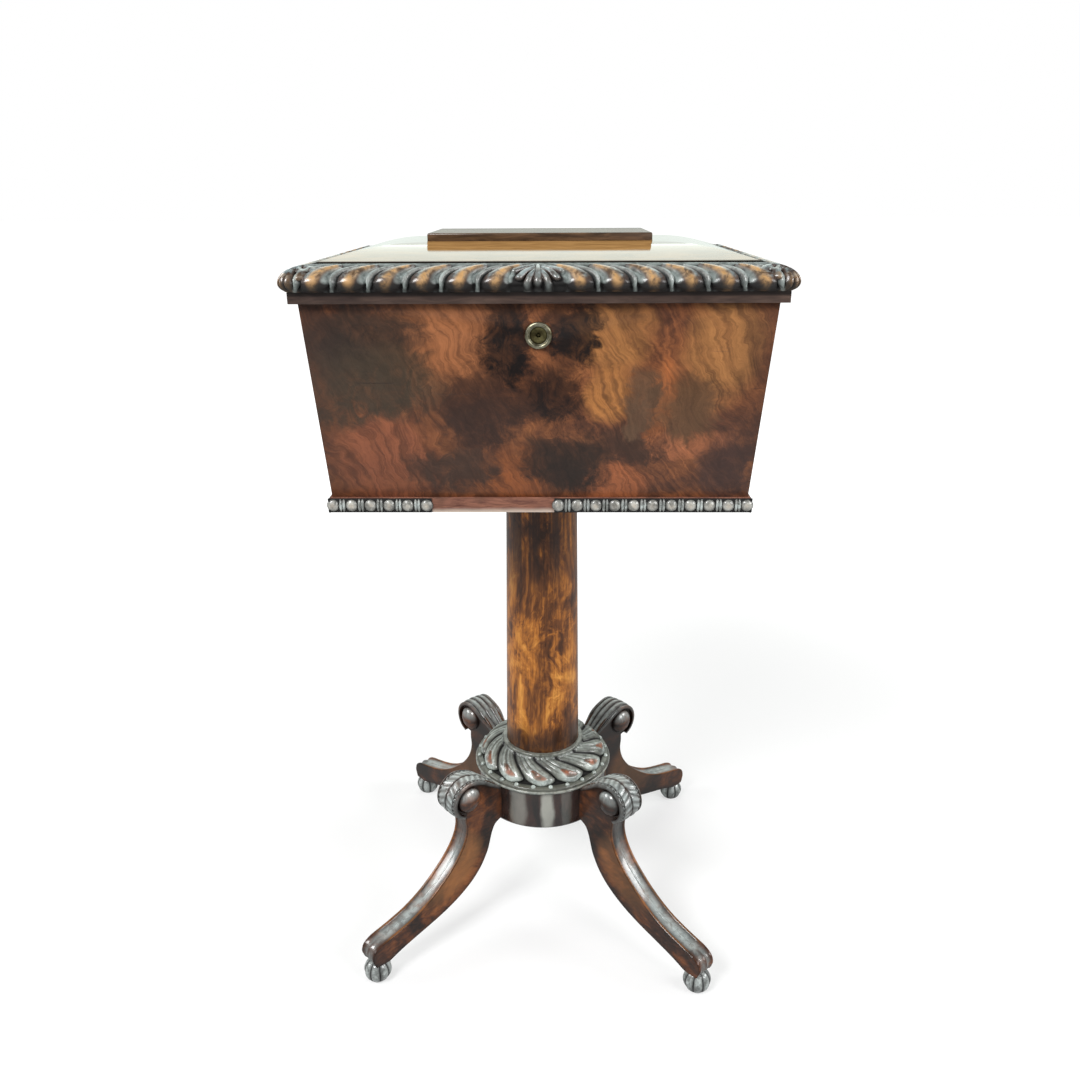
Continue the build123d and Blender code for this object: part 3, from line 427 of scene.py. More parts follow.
def pillar_veneer(name):
    """The same wood, read round the pillar: upright strokes, golden patches and, at the top under the chest,
    painted shade in stripes.
    """
    f = Finish(name)
    x, y, z = f.here()
    swirl = f.cloud((14, 14, 9), 4.0, 0.6, 0.8)
    strokes = f.noise(f.point(x * 60.0 + swirl * 3.0, y * 60.0, z * 16.0 + swirl * 5.0), 5.0, 0.66, 1.2)
    fine = f.noise(f.point(x * 420.0, y * 420.0, z * 34.0), 3.0, 0.6, 0.3)
    glow = f.cloud((22, 22, 17), 4.0, 0.6, 0.7, shift=(0.3, 0.2, 0.5))
    tone = strokes * 0.52 + glow * 0.62 + fine * 0.14 - 0.15
    colour = f.ramp(tone, [(0.34, tint(66, 38, 22)), (0.45, tint(112, 66, 32)), (0.54, tint(168, 104, 42)),
                           (0.66, tint(204, 142, 64))])
    stripes = f.noise(f.point(x * 110.0, y * 110.0, z * 3.0), 4.0, 0.6, 0.3)
    # Painted shade: the top of the pillar, under the chest, is darkened in stripes.
    top = z.between(0.38, 0.47)
    colour = f.mix(top * stripes.between(0.36, 0.60) * 0.9, colour, tint(58, 38, 30))
    foot = (z + swirl * 0.05).between(0.278, 0.250)
    colour = f.mix(foot * 0.78, colour, tint(48, 28, 16))
    colour = f.lit(colour, 0.72 + (strokes * 0.4 + fine * 0.3 + glow * 0.3).between(0.38, 0.62) * 0.5)
    return f.surface(Base_Color=colour, Roughness=0.26 + strokes * 0.12, Specular_IOR_Level=0.3,
                     Coat_Weight=0.2, Coat_Roughness=0.14, Normal=f.bump(strokes * 0.6 + fine * 0.4, 0.10))


# %% Dark polished wood


def dark_polish(name, deep, warm, rough, grain=(30.0, 240.0, 240.0), shadow_level=9.0):
    """Straight-grained dark wood; above a level, given in metres as the last argument, painted shadow turns it
    black.
    """
    f = Finish(name)
    figure = f.cloud(grain, 5.0, 0.6, 0.6)
    clouds = f.cloud(8.4, 3.0)
    dust = f.cloud(160, 2.0)
    colour = f.mix((figure * 0.7 + clouds * 0.6 - 0.30).between(0.15, 0.75), deep, warm)
    z = f.here()[2]
    # Painted shadow: black above the given level, as under the moulding's overhang.
    colour = f.mix((z + figure * 0.002).between(shadow_level - 0.0015, shadow_level + 0.001) * 0.85, colour, tint(20, 14, 12))
    return f.surface(Base_Color=colour, Roughness=rough + clouds * 0.05 + dust * 0.03, Coat_Weight=0.8,
                     Coat_IOR=1.5, Coat_Roughness=0.05, Normal=f.bump(figure * 0.3 + dust * 0.2, 0.02))


def drum_veneer(name, glints):
    """Nearly black veneer; `glints` are upright strips of painted highlight on its front half."""
    f = Finish(name)
    x, y, z = f.here()
    figure = f.cloud((60, 60, 20), 5.0, 0.6, 0.6)
    wave = f.cloud((70, 70, 30), 3.0)
    colour = f.mix(figure.between(0.35, 0.65), tint(20, 15, 13), tint(58, 36, 29))
    # Painted highlights: pale upright strips on the front of the drum.
    for centre, half, share in glints:
        strip = f.spot(x + (wave - 0.5) * 0.008, z, centre, half)
        strip = strip ** 2.0 * (figure * 0.8 + 0.6) * y.between(0.0, -0.02)
        colour = f.mix(strip * share, colour, tint(196, 198, 188))
    return f.surface(Base_Color=colour, Roughness=0.14 + figure * 0.08, Coat_Weight=0.8, Coat_IOR=1.5,
                     Coat_Roughness=0.06, Normal=f.bump(figure, 0.03))


def lid_shine(name):
    """The lid's mirror polish; the layer `warm` is a painted reflection of the tablet's golden side on the dome
    before it, and the layer `line` a painted shade line at the dome's foot; both are dull.
    """
    f = Finish(name)
    figure = f.cloud((30, 240, 240), 5.0, 0.6, 0.6)
    clouds = f.cloud(10.8, 3.0)
    x, y = f.here()[:2]
    front, half = tablet_low[1] * MM, tablet_high[0] * MM
    before = (x.size() - (y - front) * 0.12).between(half + 0.001, half - 0.001)
    # Painted reflection: a dull golden strip on the dome before the tablet, as the tablet's side mirrored.
    warm = f.layer("warm") * before * y.between(front + 0.02, front + 0.01)
    warm = (warm + (figure - 0.5) * warm * 0.9).between(0.10, 0.80)
    dull = f.layer("line") + warm
    colour = f.mix(figure.between(0.3, 0.7), tint(92, 70, 42), tint(140, 108, 66))
    colour = f.mix(warm, colour, f.mix(figure.between(0.3, 0.7), tint(132, 98, 58), tint(168, 128, 80)))
    # Painted shade: a dark dull line at the foot of the dome.
    colour = f.mix(f.layer("line"), colour, tint(20, 16, 12))
    return f.surface(dull, Base_Color=colour, Roughness=0.06 + clouds * 0.05, Coat_Weight=0.9, Coat_IOR=2.8,
                     Coat_Roughness=0.05, Normal=f.bump(figure * 0.3 + clouds * 0.7, 0.012))


def tablet_polish(name):
    """The tablet: dark wood that has lost about half of its polish."""
    f = Finish(name)
    figure = f.cloud((30, 240, 240), 5.0, 0.6, 0.6)
    colour = f.mix(figure.between(0.30, 0.70), tint(60, 46, 36), tint(104, 80, 60))
    return f.surface(0.38 + figure * 0.16, Base_Color=colour, Roughness=0.16 + figure * 0.06, Coat_Weight=0.8,
                     Coat_IOR=1.6, Coat_Roughness=0.12)


# %% Carved work and legs


def carved_wood(name, dark, mid, crest, gold):
    """Carving: the layer `high` is its height, `rub` where it is worn golden, `pale` a painted silvery
    highlight (on the moulding's top, pale dust); the colour `crest` on the highest parts is a painted highlight
    too.
    """
    f = Finish(name)
    high, rub, pale = f.layer("high"), f.layer("rub"), f.layer("pale")
    grain = f.cloud(90, 5.0, 0.6, 0.8)
    patches = f.cloud(110, 4.0, 0.65, 0.5)
    colour = f.mix(high.between(0.15, 0.80), dark, mid)
    # Painted highlights: the crest colour and the `pale` layer stand for light caught on the carving.
    colour = f.mix(high.between(0.60, 1.0) * patches.between(0.38, 0.58) * 0.85, colour, crest)
    colour = f.mix(rub * (0.25 + patches.between(0.36, 0.60) * 0.85), colour, gold)
    colour = f.mix(pale * (0.4 + grain * 0.6), colour, tint(180, 192, 188))
    colour = f.lit(colour, 0.55 + (grain * 0.6 + patches * 0.4).between(0.34, 0.62) * 0.7)
    rough = 0.30 + grain * 0.20 + (1 - high) * 0.35
    return f.surface(Base_Color=colour, Roughness=rough, Coat_Weight=high * 0.8, Coat_IOR=1.8,
                     Coat_Roughness=0.2, Normal=f.bump(grain * 0.5 + patches * 0.5, 0.22))


def leg_wood(name):
    """Reddish polished wood, nearly black in patches and where the layer `high` is low, which is painted shade;
    the layer `pale` paints silvery highlights and reflections, and `rub` is golden wear or a painted glow.
    """
    f = Finish(name)
    high, rub, pale = f.layer("high"), f.layer("rub"), f.layer("pale")
    grain = f.cloud((60, 60, 150), 5.0, 0.6, 0.9)
    clouds = f.cloud(17, 4.0, 0.6, 0.8)
    colour = f.ramp(grain * 0.35 + clouds * 0.75 - 0.075,
                    [(0.38, tint(30, 20, 15)), (0.48, tint(70, 40, 25)), (0.57, tint(118, 68, 36)),
                     (0.68, tint(158, 96, 50))])
    # Painted shade where the layer `high` is low.
    colour = f.mix(high.between(0.60, 0.05) * 0.85, colour, tint(26, 20, 18))
    colour = f.mix(rub * (0.45 + clouds * 0.5), colour, tint(186, 128, 74))
    worn = f.cloud((120, 120, 40), 4.0, 0.6, 0.4)
    # Painted highlights and reflections: the `pale` layer, broken up by noise.
    colour = f.mix(pale * (0.50 + worn.between(0.34, 0.62) * 0.5), colour, tint(184, 194, 192))
    return f.surface(Base_Color=colour, Roughness=0.24 + clouds * 0.12 + grain * 0.06, Specular_IOR_Level=0.3,
                     Coat_Weight=0.22 + pale * 0.7, Coat_IOR=1.8, Coat_Roughness=0.12,
                     Normal=f.bump(grain * 0.6 + clouds * 0.4, 0.08))


# %% Bare wood, rosewood, metal, glass and velvet


def bare_wood(name, deep, pale, grain=(40.0, 300.0, 300.0), sill=0.0):
    """Unpolished wood: open grain and dirt; just above the level `sill`, in metres, it turns pale."""
    f = Finish(name)
    figure = f.cloud(grain, 5.0, 0.65, 0.7)
    dirt = f.cloud(30, 4.0)
    colour = f.mix(figure.between(0.25, 0.75), deep, pale)
    z = f.here()[2]
    colour = f.mix(dirt.between(0.52, 0.75) * 0.5, colour, tint(60, 42, 32))
    colour = f.mix((z + dirt * 0.003).between(sill + 0.007, sill + 0.001) * 0.8, colour, tint(222, 206, 190))
    return f.surface(Base_Color=colour, Roughness=0.62 + dirt * 0.15, Normal=f.bump(figure, 0.15))


def metal(name, bright, dull, rough):
    """Old metal: bright where it is handled, dull and spotted elsewhere."""
    f = Finish(name)
    spots = f.cloud(260, 4.0)
    film = f.cloud(70, 3.0)
    colour = f.mix((spots * 0.6 + film * 0.6).between(0.42, 0.80), bright, dull)
    return f.surface(Base_Color=colour, Metallic=1.0, Roughness=rough + film * 0.16 + spots * 0.08,
                     Normal=f.bump(spots, 0.03))


def clear_glass(name):
    """Glass with slight ripples."""
    f = Finish(name)
    ripple = f.cloud(25, 2.0)
    return f.surface(Base_Color=(0.93, 0.98, 0.97), Roughness=0.03, Transmission_Weight=1.0, IOR=1.5,
                     Normal=f.bump(ripple, 0.15))


def velvet(name, deep, lit):
    """Pile that lies this way and that, in two shades."""
    f = Finish(name)
    nap = f.cloud(900, 3.0)
    crush = f.cloud(16, 3.0, 0.6, 1.0)
    colour = f.mix((nap * 0.4 + crush * 0.7).between(0.3, 0.8), deep, lit)
    return f.surface(Base_Color=colour, Roughness=0.85, Sheen_Weight=0.7, Sheen_Roughness=0.35,
                     Normal=f.bump(nap, 0.25))


# %% The finishes of this teapoy
front_marks = [((-25, 705), (25, 36), (12, 10, 11)), ((29, 712), (21, 32), (18, 12, 12)),
               ((11, 655), (27, 27), (24, 16, 15)), ((-52, 646), (44, 36), (54, 36, 29)),
               ((22, 594), (46, 26), (44, 32, 26)), ((-160, 705), (56, 36), (50, 40, 34)),
               ((-150, 668), (62, 34), (64, 52, 40)), ((-80, 590), (40, 20), (70, 50, 40)),
               ((140, 648), (30, 27), (96, 68, 46)), ((94, 646), (15, 32), (92, 68, 50)),
               ((176, 585), (24, 34), (66, 44, 38)), ((90, 612), (34, 12), (66, 44, 33))]
front_glows = [((-145, 598), (52, 40), (150, 88, 60)), ((62, 708), (34, 32), (164, 112, 64)),
               ((165, 700), (36, 44), (162, 112, 66)), ((62, 655), (22, 24), (176, 118, 64)),
               ((113, 650), (9, 40), (170, 100, 56)), ((72, 574), (30, 20), (168, 98, 60)),
               ((140, 615), (38, 12), (170, 104, 68)), ((-24, 580), (36, 26), (158, 90, 48)),
               ((-88, 700), (62, 46), (154, 98, 62))]
flame_front = flame_veneer("flame_front", "x", front_marks, front_glows)
flame_back = flame_veneer("flame_back", "x", [((0, 650), (46, 110), (52, 38, 32))])
flame_sides = flame_veneer("flame_sides", "y", [((20, 650), (38, 110), (50, 36, 30))], (), -0.7)
pillar_flame = pillar_veneer("pillar_flame")
lid_polish = lid_shine("lid_polish")
tablet_finish = tablet_polish("tablet_finish")
# The band's top is painted black: the shadow under the moulding.
band_polish = dark_polish("band_polish", tint(56, 44, 40), tint(104, 84, 74), 0.26,
                          shadow_level=rail_low[2] * MM + 0.0075)
# Painted highlights on the drum: place, half size and share of each strip.
painted_drum_glints = [((6, 158), (8, 42), 0.66), ((-28, 158), (10, 42), 0.32), ((28, 158), (6, 42), 0.16)]
drum_polish = drum_veneer("drum_polish", painted_drum_glints)
# In each carved finish the third colour, for the crests, is a painted highlight.
rim_finish = carved_wood("rim_finish", tint(34, 32, 27), tint(82, 82, 70), tint(116, 118, 102),
                         tint(130, 110, 80))
gadroon_finish = carved_wood("gadroon_finish", tint(10, 7, 6), tint(66, 46, 34), tint(134, 150, 152),
                             tint(178, 138, 88))
collar_finish = carved_wood("collar_finish", tint(12, 11, 9), tint(82, 80, 68), tint(170, 176, 166),
                            tint(150, 84, 50))
bead_finish = carved_wood("bead_finish", tint(12, 11, 11), tint(104, 98, 92), tint(190, 196, 194),
                          tint(176, 136, 92))
foot_finish = carved_wood("foot_finish", tint(16, 15, 15), tint(96, 96, 94), tint(172, 178, 176),
                          tint(120, 96, 70))
leg_finish = leg_wood("leg_finish")
board_finish = bare_wood("board_finish", tint(88, 50, 40), tint(156, 104, 82), sill=board_low[2] * MM)
inside_finish = bare_wood("inside_finish", tint(120, 76, 48), tint(160, 110, 72))
canister_finish = dark_polish("canister_finish", tint(50, 20, 14), tint(122, 58, 34), 0.22,
                              (200.0, 200.0, 24.0))
ebony_finish = dark_polish("ebony_finish", tint(18, 15, 13), tint(44, 34, 28), 0.14)
brass_finish = metal("brass_finish", tint(206, 184, 132), tint(120, 102, 62), 0.22)
nozzle_finish = metal("nozzle_finish", tint(176, 174, 152), tint(104, 98, 74), 0.26)
plug_finish = metal("plug_finish", tint(118, 112, 76), tint(62, 56, 36), 0.34)
iron_finish = metal("iron_finish", tint(92, 84, 78), tint(50, 40, 34), 0.42)
glass_finish = clear_glass("glass_finish")
velvet_finish = velvet("velvet_finish", tint(70, 12, 18), tint(134, 34, 40))
print("finishes:", len(bpy.data.materials))

# %% [markdown]
# ## The gadrooned moulding
#
# Gadroons are fat carved lobes. On this lid they lean towards a leaf in the middle of each side, and
# each has a tail that sweeps up to the dome and a thin pale rib along its outer flank. The section is
# two quarter ellipses; the carving only sinks the ground between the strokes. A height field over
# (along, round the section) keeps that in one formula for all four sides, and the mitres meet.
# Modelling each lobe as a solid would need joins between lobes that a height field gives for nothing.

# %% Section of the moulding
dome_half = dome_high[0]
under = 8.0
widest = 7.5
moulding_depth = 4.6
corner_round = 15.0
foot_z = rail_low[2] + 9.8
crown_z = dome_low[2] + 1.6


def moulding_section(low_steps, high_steps):
    """Two quarter ellipses: under the widest line, then up and in to the dome; with their normals."""
    low = arc((lid_half - under, foot_z + widest), (under, widest), -90, 0, low_steps)
    rise = crown_z - foot_z - widest
    high = arc((dome_half, foot_z + widest), (lid_half - dome_half, rise), 0, 90, high_steps)
    skin = np.vstack([low, high[1:]])
    step = np.gradient(skin, axis=0)
    normal = np.stack([step[:, 1], -step[:, 0]], axis=-1)
    return skin, normal / np.linalg.norm(normal, axis=1, keepdims=True)


# %% Carving of the moulding
lobe_pitch = 33.5
leaf_half = 22.0


def lobe_strokes(at, sense):
    """One gadroon, its rib, its golden ridge and the painted sheen beside that: lines in (along, up the slope).
    """
    lobe = [(at + 1.5, -12.0), (at + 0.5, -5.0), (at - 4.0, 3.0), (at - 11.0, 9.0), (at - 21.0, 14.0)]
    rib = [(at + 16.6, -16.0), (at + 16.4, -7.0), (at + 12.6, 1.0), (at + 5.6, 8.0), (at - 4.0, 13.5)]
    ridge = [(at + 1.0, -10.5), (at - 2.5, -3.0), (at - 8.0, 5.0), (at - 17.0, 12.0)]
    sheen = [(at - 9.5, -9.0), (at - 10.5, -3.0), (at - 15.0, 4.0), (at - 22.0, 10.0)]
    flip = np.array([sense, 1])
    return [smooth_line(line, 9) * flip for line in (lobe, rib, ridge, sheen)]


def gadroon_heights(along, up, end):
    """Height, golden rub and pale of the carving over a grid of (along, up the slope); pale is painted
    highlight.
    """
    count = round((end.max() - leaf_half - 0.45 * lobe_pitch) / lobe_pitch)
    pitch = (end.max() - leaf_half - 0.45 * lobe_pitch) / count
    high, rub, pale = np.zeros(along.shape), np.zeros(along.shape), np.zeros(along.shape)
    for sense in (-1, 1):
        for index in range(count):
            lobe, rib, ridge, sheen = lobe_strokes(leaf_half + (index + 0.42) * pitch, sense)
            high = np.maximum(high, pen(along, up, lobe, np.linspace(12.4, 2.0, 9)))
            edge = pen(along, up, rib, np.array([1.6, 2.0, 2.3, 2.4, 2.4, 2.2, 1.9, 1.5, 1.0]))
            high = np.maximum(high, 0.82 * edge)
            # Painted highlights: the rib and the sheen beside each lobe turn pale.
            pale = np.maximum(pale, 0.7 * edge**1.6)
            rub = np.maximum(rub, pen(along, up, ridge, np.linspace(6.4, 3.4, 9)) ** 3.4)
            pale = np.maximum(pale, 0.75 * pen(along, up, sheen, np.linspace(4.2, 3.0, 9)) ** 2.6)
    for line, radii in leaf_strokes(0.0):
        stroke = pen(np.abs(along), up, line, radii)
        high, pale = np.maximum(high, stroke), np.maximum(pale, 0.35 * stroke**6)
    inward = end - np.abs(along)
    for line, radii in leaf_strokes(1.0):
        stroke = pen(inward, up, line, radii)
        high, rub = np.maximum(high, stroke), np.maximum(rub, 0.5 * stroke**4 * (up < -2))
    return high, rub, pale


def leaf_strokes(corner):
    """Blades of a leaf about a middle rib; a leaf on a `corner` is wider and fatter at its foot."""
    wide = 1 + 0.15 * corner
    blades = [([(0, -11 - corner), (0, 2), (0, 13)], [4.6 + 2.6 * corner, 3.6, 2.4]),
              ([(3, 3), (7 * wide, -5), (9 * wide, -13)], [2.2, 3.4, 4.2]),
              ([(3.5, 8), (11 * wide, 2), (16 * wide, -6)], [2.2, 3.2, 4.0]),
              ([(4, 12), (13 * wide, 8), (20 * wide, 3)], [1.8, 2.8, 3.2])]
    return [(np.array(line, float), np.array(radii)) for line, radii in blades]


# %% One side of the moulding


def moulding_side(half, steps):
    """The right-hand side of the lid, `half` long each way: section rows by steps along."""
    skin, normal = moulding_section(16, 44)
    out, level = skin[:, 0][:, None], skin[:, 1][:, None]
    end = half - (lid_half - out)
    along = np.linspace(-1, 1, steps)[None, :] * end
    up = ((lid_half - 11.0 - out) + (level - foot_z - 14.0)) / np.sqrt(2)
    high, rub, pale = gadroon_heights(along, up + 0 * along, end)
    share = np.linspace(0, 1, len(skin))[:, None]
    # Pale dust along the top of the moulding.
    pale = np.maximum(pale, 0.55 * fade(share, 0.90, 0.97))
    rub = rub * fade(up, -18.0, -8.0) * fade(share, 0.97, 0.86)
    sink = moulding_depth * (1 - high) * fade(share, 1.0, 0.86) * fade(share, 0.0, 0.08)
    x = out - normal[:, 0][:, None] * sink
    z = level - normal[:, 1][:, None] * sink
    y = along * (half - (lid_half - x)) / end
    x, y = round_corner(x, y, half)
    top = np.stack([x, y, z], axis=-1)
    reach = along[0] * (half - lid_half + dome_half) / end[0]
    back = [np.stack([0 * reach + dome_half, reach, 0 * reach + height], axis=-1)[None]
            for height in (foot_z, crown_z - 1.0)]
    points = np.concatenate([back[0], top, back[1]])
    # Painted shade: the carving darkens towards its underside.
    bright = high * (0.12 + 0.88 * fade(up, -17.0, -4.0))
    body = grid(points, **with_ends(high=bright, rub=rub, pale=pale))
    closing = grid(np.stack([points[-1], points[0]]), high=0, rub=0, pale=0)
    return join([body, closing])


def round_corner(x, y, half):
    """Draws the outer corner in to a quarter circle in plan, and leaves the mitre where it is."""
    dx = np.maximum(x - (lid_half - corner_round), 0)
    dy = np.maximum(np.abs(y) - (half - corner_round), 0)
    pull = np.maximum(dx, dy) / np.maximum(np.hypot(dx, dy), 1e-6)
    pull = np.where((dx > 0) & (dy > 0), pull, 1.0)
    x = np.where(dx > 0, lid_half - corner_round + dx * pull, x)
    y = np.where(dy > 0, np.sign(y) * (half - corner_round + dy * pull), y)
    return x, y


# %% Four sides of the moulding
quarter = {"right": 0, "back": 90, "left": 180, "front": 270}
for side, turn in quarter.items():
    long_side = side in ("front", "back")
    shell = moulding_side(lid_half if long_side else narrow_half, 900 if long_side else 700)
    inset = np.array([lid_narrower, 0, 0]) if long_side else np.zeros(3)
    shell = moved((shell[0] - inset, shell[1], shell[2]), turn)
    piece("gadroon_carving_" + side, shell, "lid", gadroon_finish, ["gadroon_" + side], 60.0)

# %% [markdown]
# ## The lid
#
# The dome is a cushion: each side rises in a flat arc to the tablet, and neighbouring sides meet in a
# crisp mitre. Rings of the same rectangle, from the fillet at the foot up to the tablet, make it in one
# grid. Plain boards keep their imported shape. Where an edge is looked at closely, a bevel rounds it over
# as glasspaper does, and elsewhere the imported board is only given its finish.

# %% Dome of the lid
ring_steps = 40
dome_rings = 30
dome_bulge = 4.0
# Rings over which the painted reflection before the tablet fades in.
reflection_from, reflection_to = 7.2, 13.0


def rectangle_ring(half_x, half_y, level):
    """A rectangle as a closed row of points, with its corners on the row."""
    t = np.linspace(-1, 1, ring_steps, endpoint=False)
    one = np.ones(ring_steps)
    x = np.concatenate([t, one, -t, -one]) * half_x
    y = np.concatenate([-one, t, one, -t]) * half_y
    return np.stack([x, y, 0 * x + level], axis=-1)


def dome_shell():
    """Rings that follow a shallow arc: out is the foot's half width, in is the tablet's."""
    foot, top = dome_half - 0.4, tablet_high[0] - 2.0
    share = np.linspace(0, 1, dome_rings)
    bulge = dome_bulge * np.sin(np.pi * share)
    half_x = foot + (top - foot) * share + 0.18 * bulge
    level = crown_z + (tablet_low[2] - crown_z) * share + bulge
    rings = [rectangle_ring(0.0, 0.0, dome_low[2]), rectangle_ring(foot, foot - lid_narrower, dome_low[2])]
    rings += [rectangle_ring(half, half - lid_narrower, z) for half, z in zip(half_x, level)]
    rings.append(rectangle_ring(0.0, 0.0, tablet_low[2]))
    # Painted shade line on the rings at the dome's foot; painted reflection on the rings near the tablet.
    line = np.zeros(len(rings))[:, None]
    line[1:4] = 1.0
    warm = fade(np.arange(len(rings)) - 2, reflection_from, reflection_to)[:, None]
    return grid(np.stack(rings), closed=True, line=line, warm=warm)


piece("lid_cushion", dome_shell(), "lid", lid_polish, ["lid_dome"], 4.0)

# %% Boards with rounded arrises


def eased(node, name, body, material, radius):
    """A copy of a packed board: its loose triangles are joined, and a bevel rounds its arrises."""
    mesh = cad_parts[node].data.copy()
    work = bmesh.new()
    work.from_mesh(mesh)
    bmesh.ops.remove_doubles(work, verts=work.verts, dist=2e-6)
    bmesh.ops.dissolve_limit(work, angle_limit=0.01, verts=work.verts, edges=work.edges)
    bmesh.ops.recalc_face_normals(work, faces=work.faces)
    work.to_mesh(mesh)
    work.free()
    mesh.name = name
    mesh.materials.clear()
    mesh.materials.append(material)
    mesh.shade_smooth()
    made = bpy.data.objects.new(name, mesh)
    bpy.context.scene.collection.objects.link(made)
    bevel = made.modifiers.new("arris", "BEVEL")
    bevel.width = radius * MM
    bevel.segments = 2
    bevel.limit_method = "ANGLE"
    bevel.angle_limit = np.radians(40)
    bevel.harden_normals = True
    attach(made, body)
    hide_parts(node)
    print(name, "is", node, "with its arrises rounded by", radius, "mm")
    return made


for node, name, material in (("carcass_front", "veneered_wall_front", flame_front),
                             ("carcass_back", "veneered_wall_back", flame_back),
                             ("carcass_left", "veneered_wall_left", flame_sides),
                             ("carcass_right", "veneered_wall_right", flame_sides)):
    eased(node, name, "stand_and_chest", material, 0.5)
eased("bottom_board", "bare_bottom_board", "stand_and_chest", board_finish, 0.8)
eased("lid_tablet", "raised_tablet", "lid", tablet_finish, 0.4)

# %% [markdown]
# ## Bead and reel
#
# A string of round beads, with a pair of thin reels between each two, runs along the edge of the bottom
# board. On the front a length of it has been lost, and the bare edge of the board shows. A bead is half
# a ball with few faces, because it is repeated many times, and a reel is half a disc seen on edge.

# %% Bead and reel strings
bead_pitch = 17.8
bead_radius, bead_proud = 6.1, 3.6
reel_radius, reel_proud, reel_half = 7.0, 3.4, 1.3
strip_half, strip_proud = 6.9, 1.0
lost_from, lost_to = -102.0, 14.0


def bead_shell(places):
    """Half beads at each place along Y on a wall that faces +X."""
    turn = np.linspace(0, 2 * np.pi, 16, endpoint=False)[None, :]
    lift = np.radians(np.linspace(0, 90, 7))[:, None]
    ring = bead_radius * np.cos(lift)
    x = bead_proud * np.sin(lift) + 0 * turn
    bead = np.stack([x, ring * np.cos(turn), ring * np.sin(turn)], axis=-1)
    high = np.broadcast_to(0.25 + 0.75 * np.sin(lift), x.shape)
    # Painted highlight: each bead turns pale towards its crest.
    return [moved(grid(bead, closed=True, high=high, rub=0.5 * high**6, pale=0.4 * high), 0, (0, at, 0))
            for at in places]


def reel_shell(places):
    """Thin turned reels between the beads: a half disc seen on edge."""
    t = np.linspace(0, np.pi, 9)[:, None]
    depth = np.linspace(-1, 1, 5)[None, :]
    swell = 1 - 0.35 * depth**2
    points = np.stack([reel_proud * swell * np.sin(t), reel_half * depth + 0 * t,
                       reel_radius * swell * np.cos(t)], axis=-1)
    high = np.broadcast_to(0.3 + 0.6 * np.sin(t), points.shape[:2])
    # Painted highlight: each reel turns pale towards its crest.
    return [moved(grid(points, high=high, rub=0, pale=0.5 * high), 0, (0, at + step, 0))
            for at in places for step in (-1.5, 1.5)]


def bead_string(side):
    """One side's string on its thin backing, in place round the board."""
    half = (board_high[0] if side in ("front", "back") else board_high[1]) + 2.0
    edge = board_high[0] if side in ("left", "right") else board_high[1]
    beads = np.arange(-int(half / bead_pitch), int(half / bead_pitch) + 1) * bead_pitch
    reels = (beads[:-1] + beads[1:]) / 2
    if side == "front":
        beads = beads[(beads < lost_from - 3) | (beads > lost_to + 3)]
        reels = reels[(reels < lost_from - 2) | (reels > lost_to + 2)]
    middle = (board_low[2] + board_high[2]) / 2 - 0.3
    shells = bead_shell(beads) + reel_shell(reels)
    runs = [(-half, lost_from), (lost_to, half)] if side == "front" else [(-half, half)]
    for low, high in runs:
        outline = np.array([[0, -1], [1, -1], [1, 1], [0, 1], [0, -1]]) * [strip_proud, strip_half]
        strip = np.stack([np.stack([outline[:, 0], 0 * outline[:, 0] + y, outline[:, 1]], axis=-1)
                          for y in (low, low, high, high)])
        strip[0] = strip[0].mean(axis=0)
        strip[3] = strip[3].mean(axis=0)
        shells.append(grid(strip, high=0.1, rub=0, pale=0))
    points, faces, layers = join(shells)
    return moved((points + np.array([edge, 0, middle]), faces, layers), quarter[side])


for side in quarter:
    piece("bead_and_reel_" + side, bead_string(side), "stand_and_chest", bead_finish, ["bead_" + side],
          50.0)

# %% [markdown]
# ## Pillar, collar and drum
#
# Turned work needs only its outline. The collar is turned too, and then carved with twelve leaves that
# sweep round as they rise. Its height field is read in a frame that turns with each leaf: across the
# leaf from -1 to 1, and up the skirt from 0 to 1. A leaf has a round tip with a spoon cut into it and
# three creases. A ring of pearls stands on the rim round the collar.

# %% Pillar
foot_radius, top_radius = 43.6, 39.2
pillar_low, pillar_high = 182.0, bearer_low[2] - 0.05
column_shell = lathe([(0, pillar_low), (foot_radius, pillar_low), (foot_radius, rim_high[2]),
                      *np.linspace((foot_radius, rim_high[2] + 1), (top_radius, pillar_high), 40),
                      (0, pillar_high)], 128)
piece("veneered_pillar", column_shell, "stand_and_chest", pillar_flame, ["column"], 40.0)

# %% Drum and rim
drum_radius = drum_high[0]
drum_shell = lathe([(0, drum_low[2]), (drum_radius - 4, drum_low[2]),
                    *arc((drum_radius - 4, drum_low[2] + 4), (4, 4), -90, 0, 6),
                    *np.linspace((drum_radius, drum_low[2] + 6), (drum_radius, drum_high[2] - 1), 6),
                    *arc((drum_radius - 1, drum_high[2] - 1), (1, 1), 0, 90, 4), (0, drum_high[2])], 160)
piece("turned_drum", drum_shell, "stand_and_chest", drum_polish, ["drum"], 40.0)

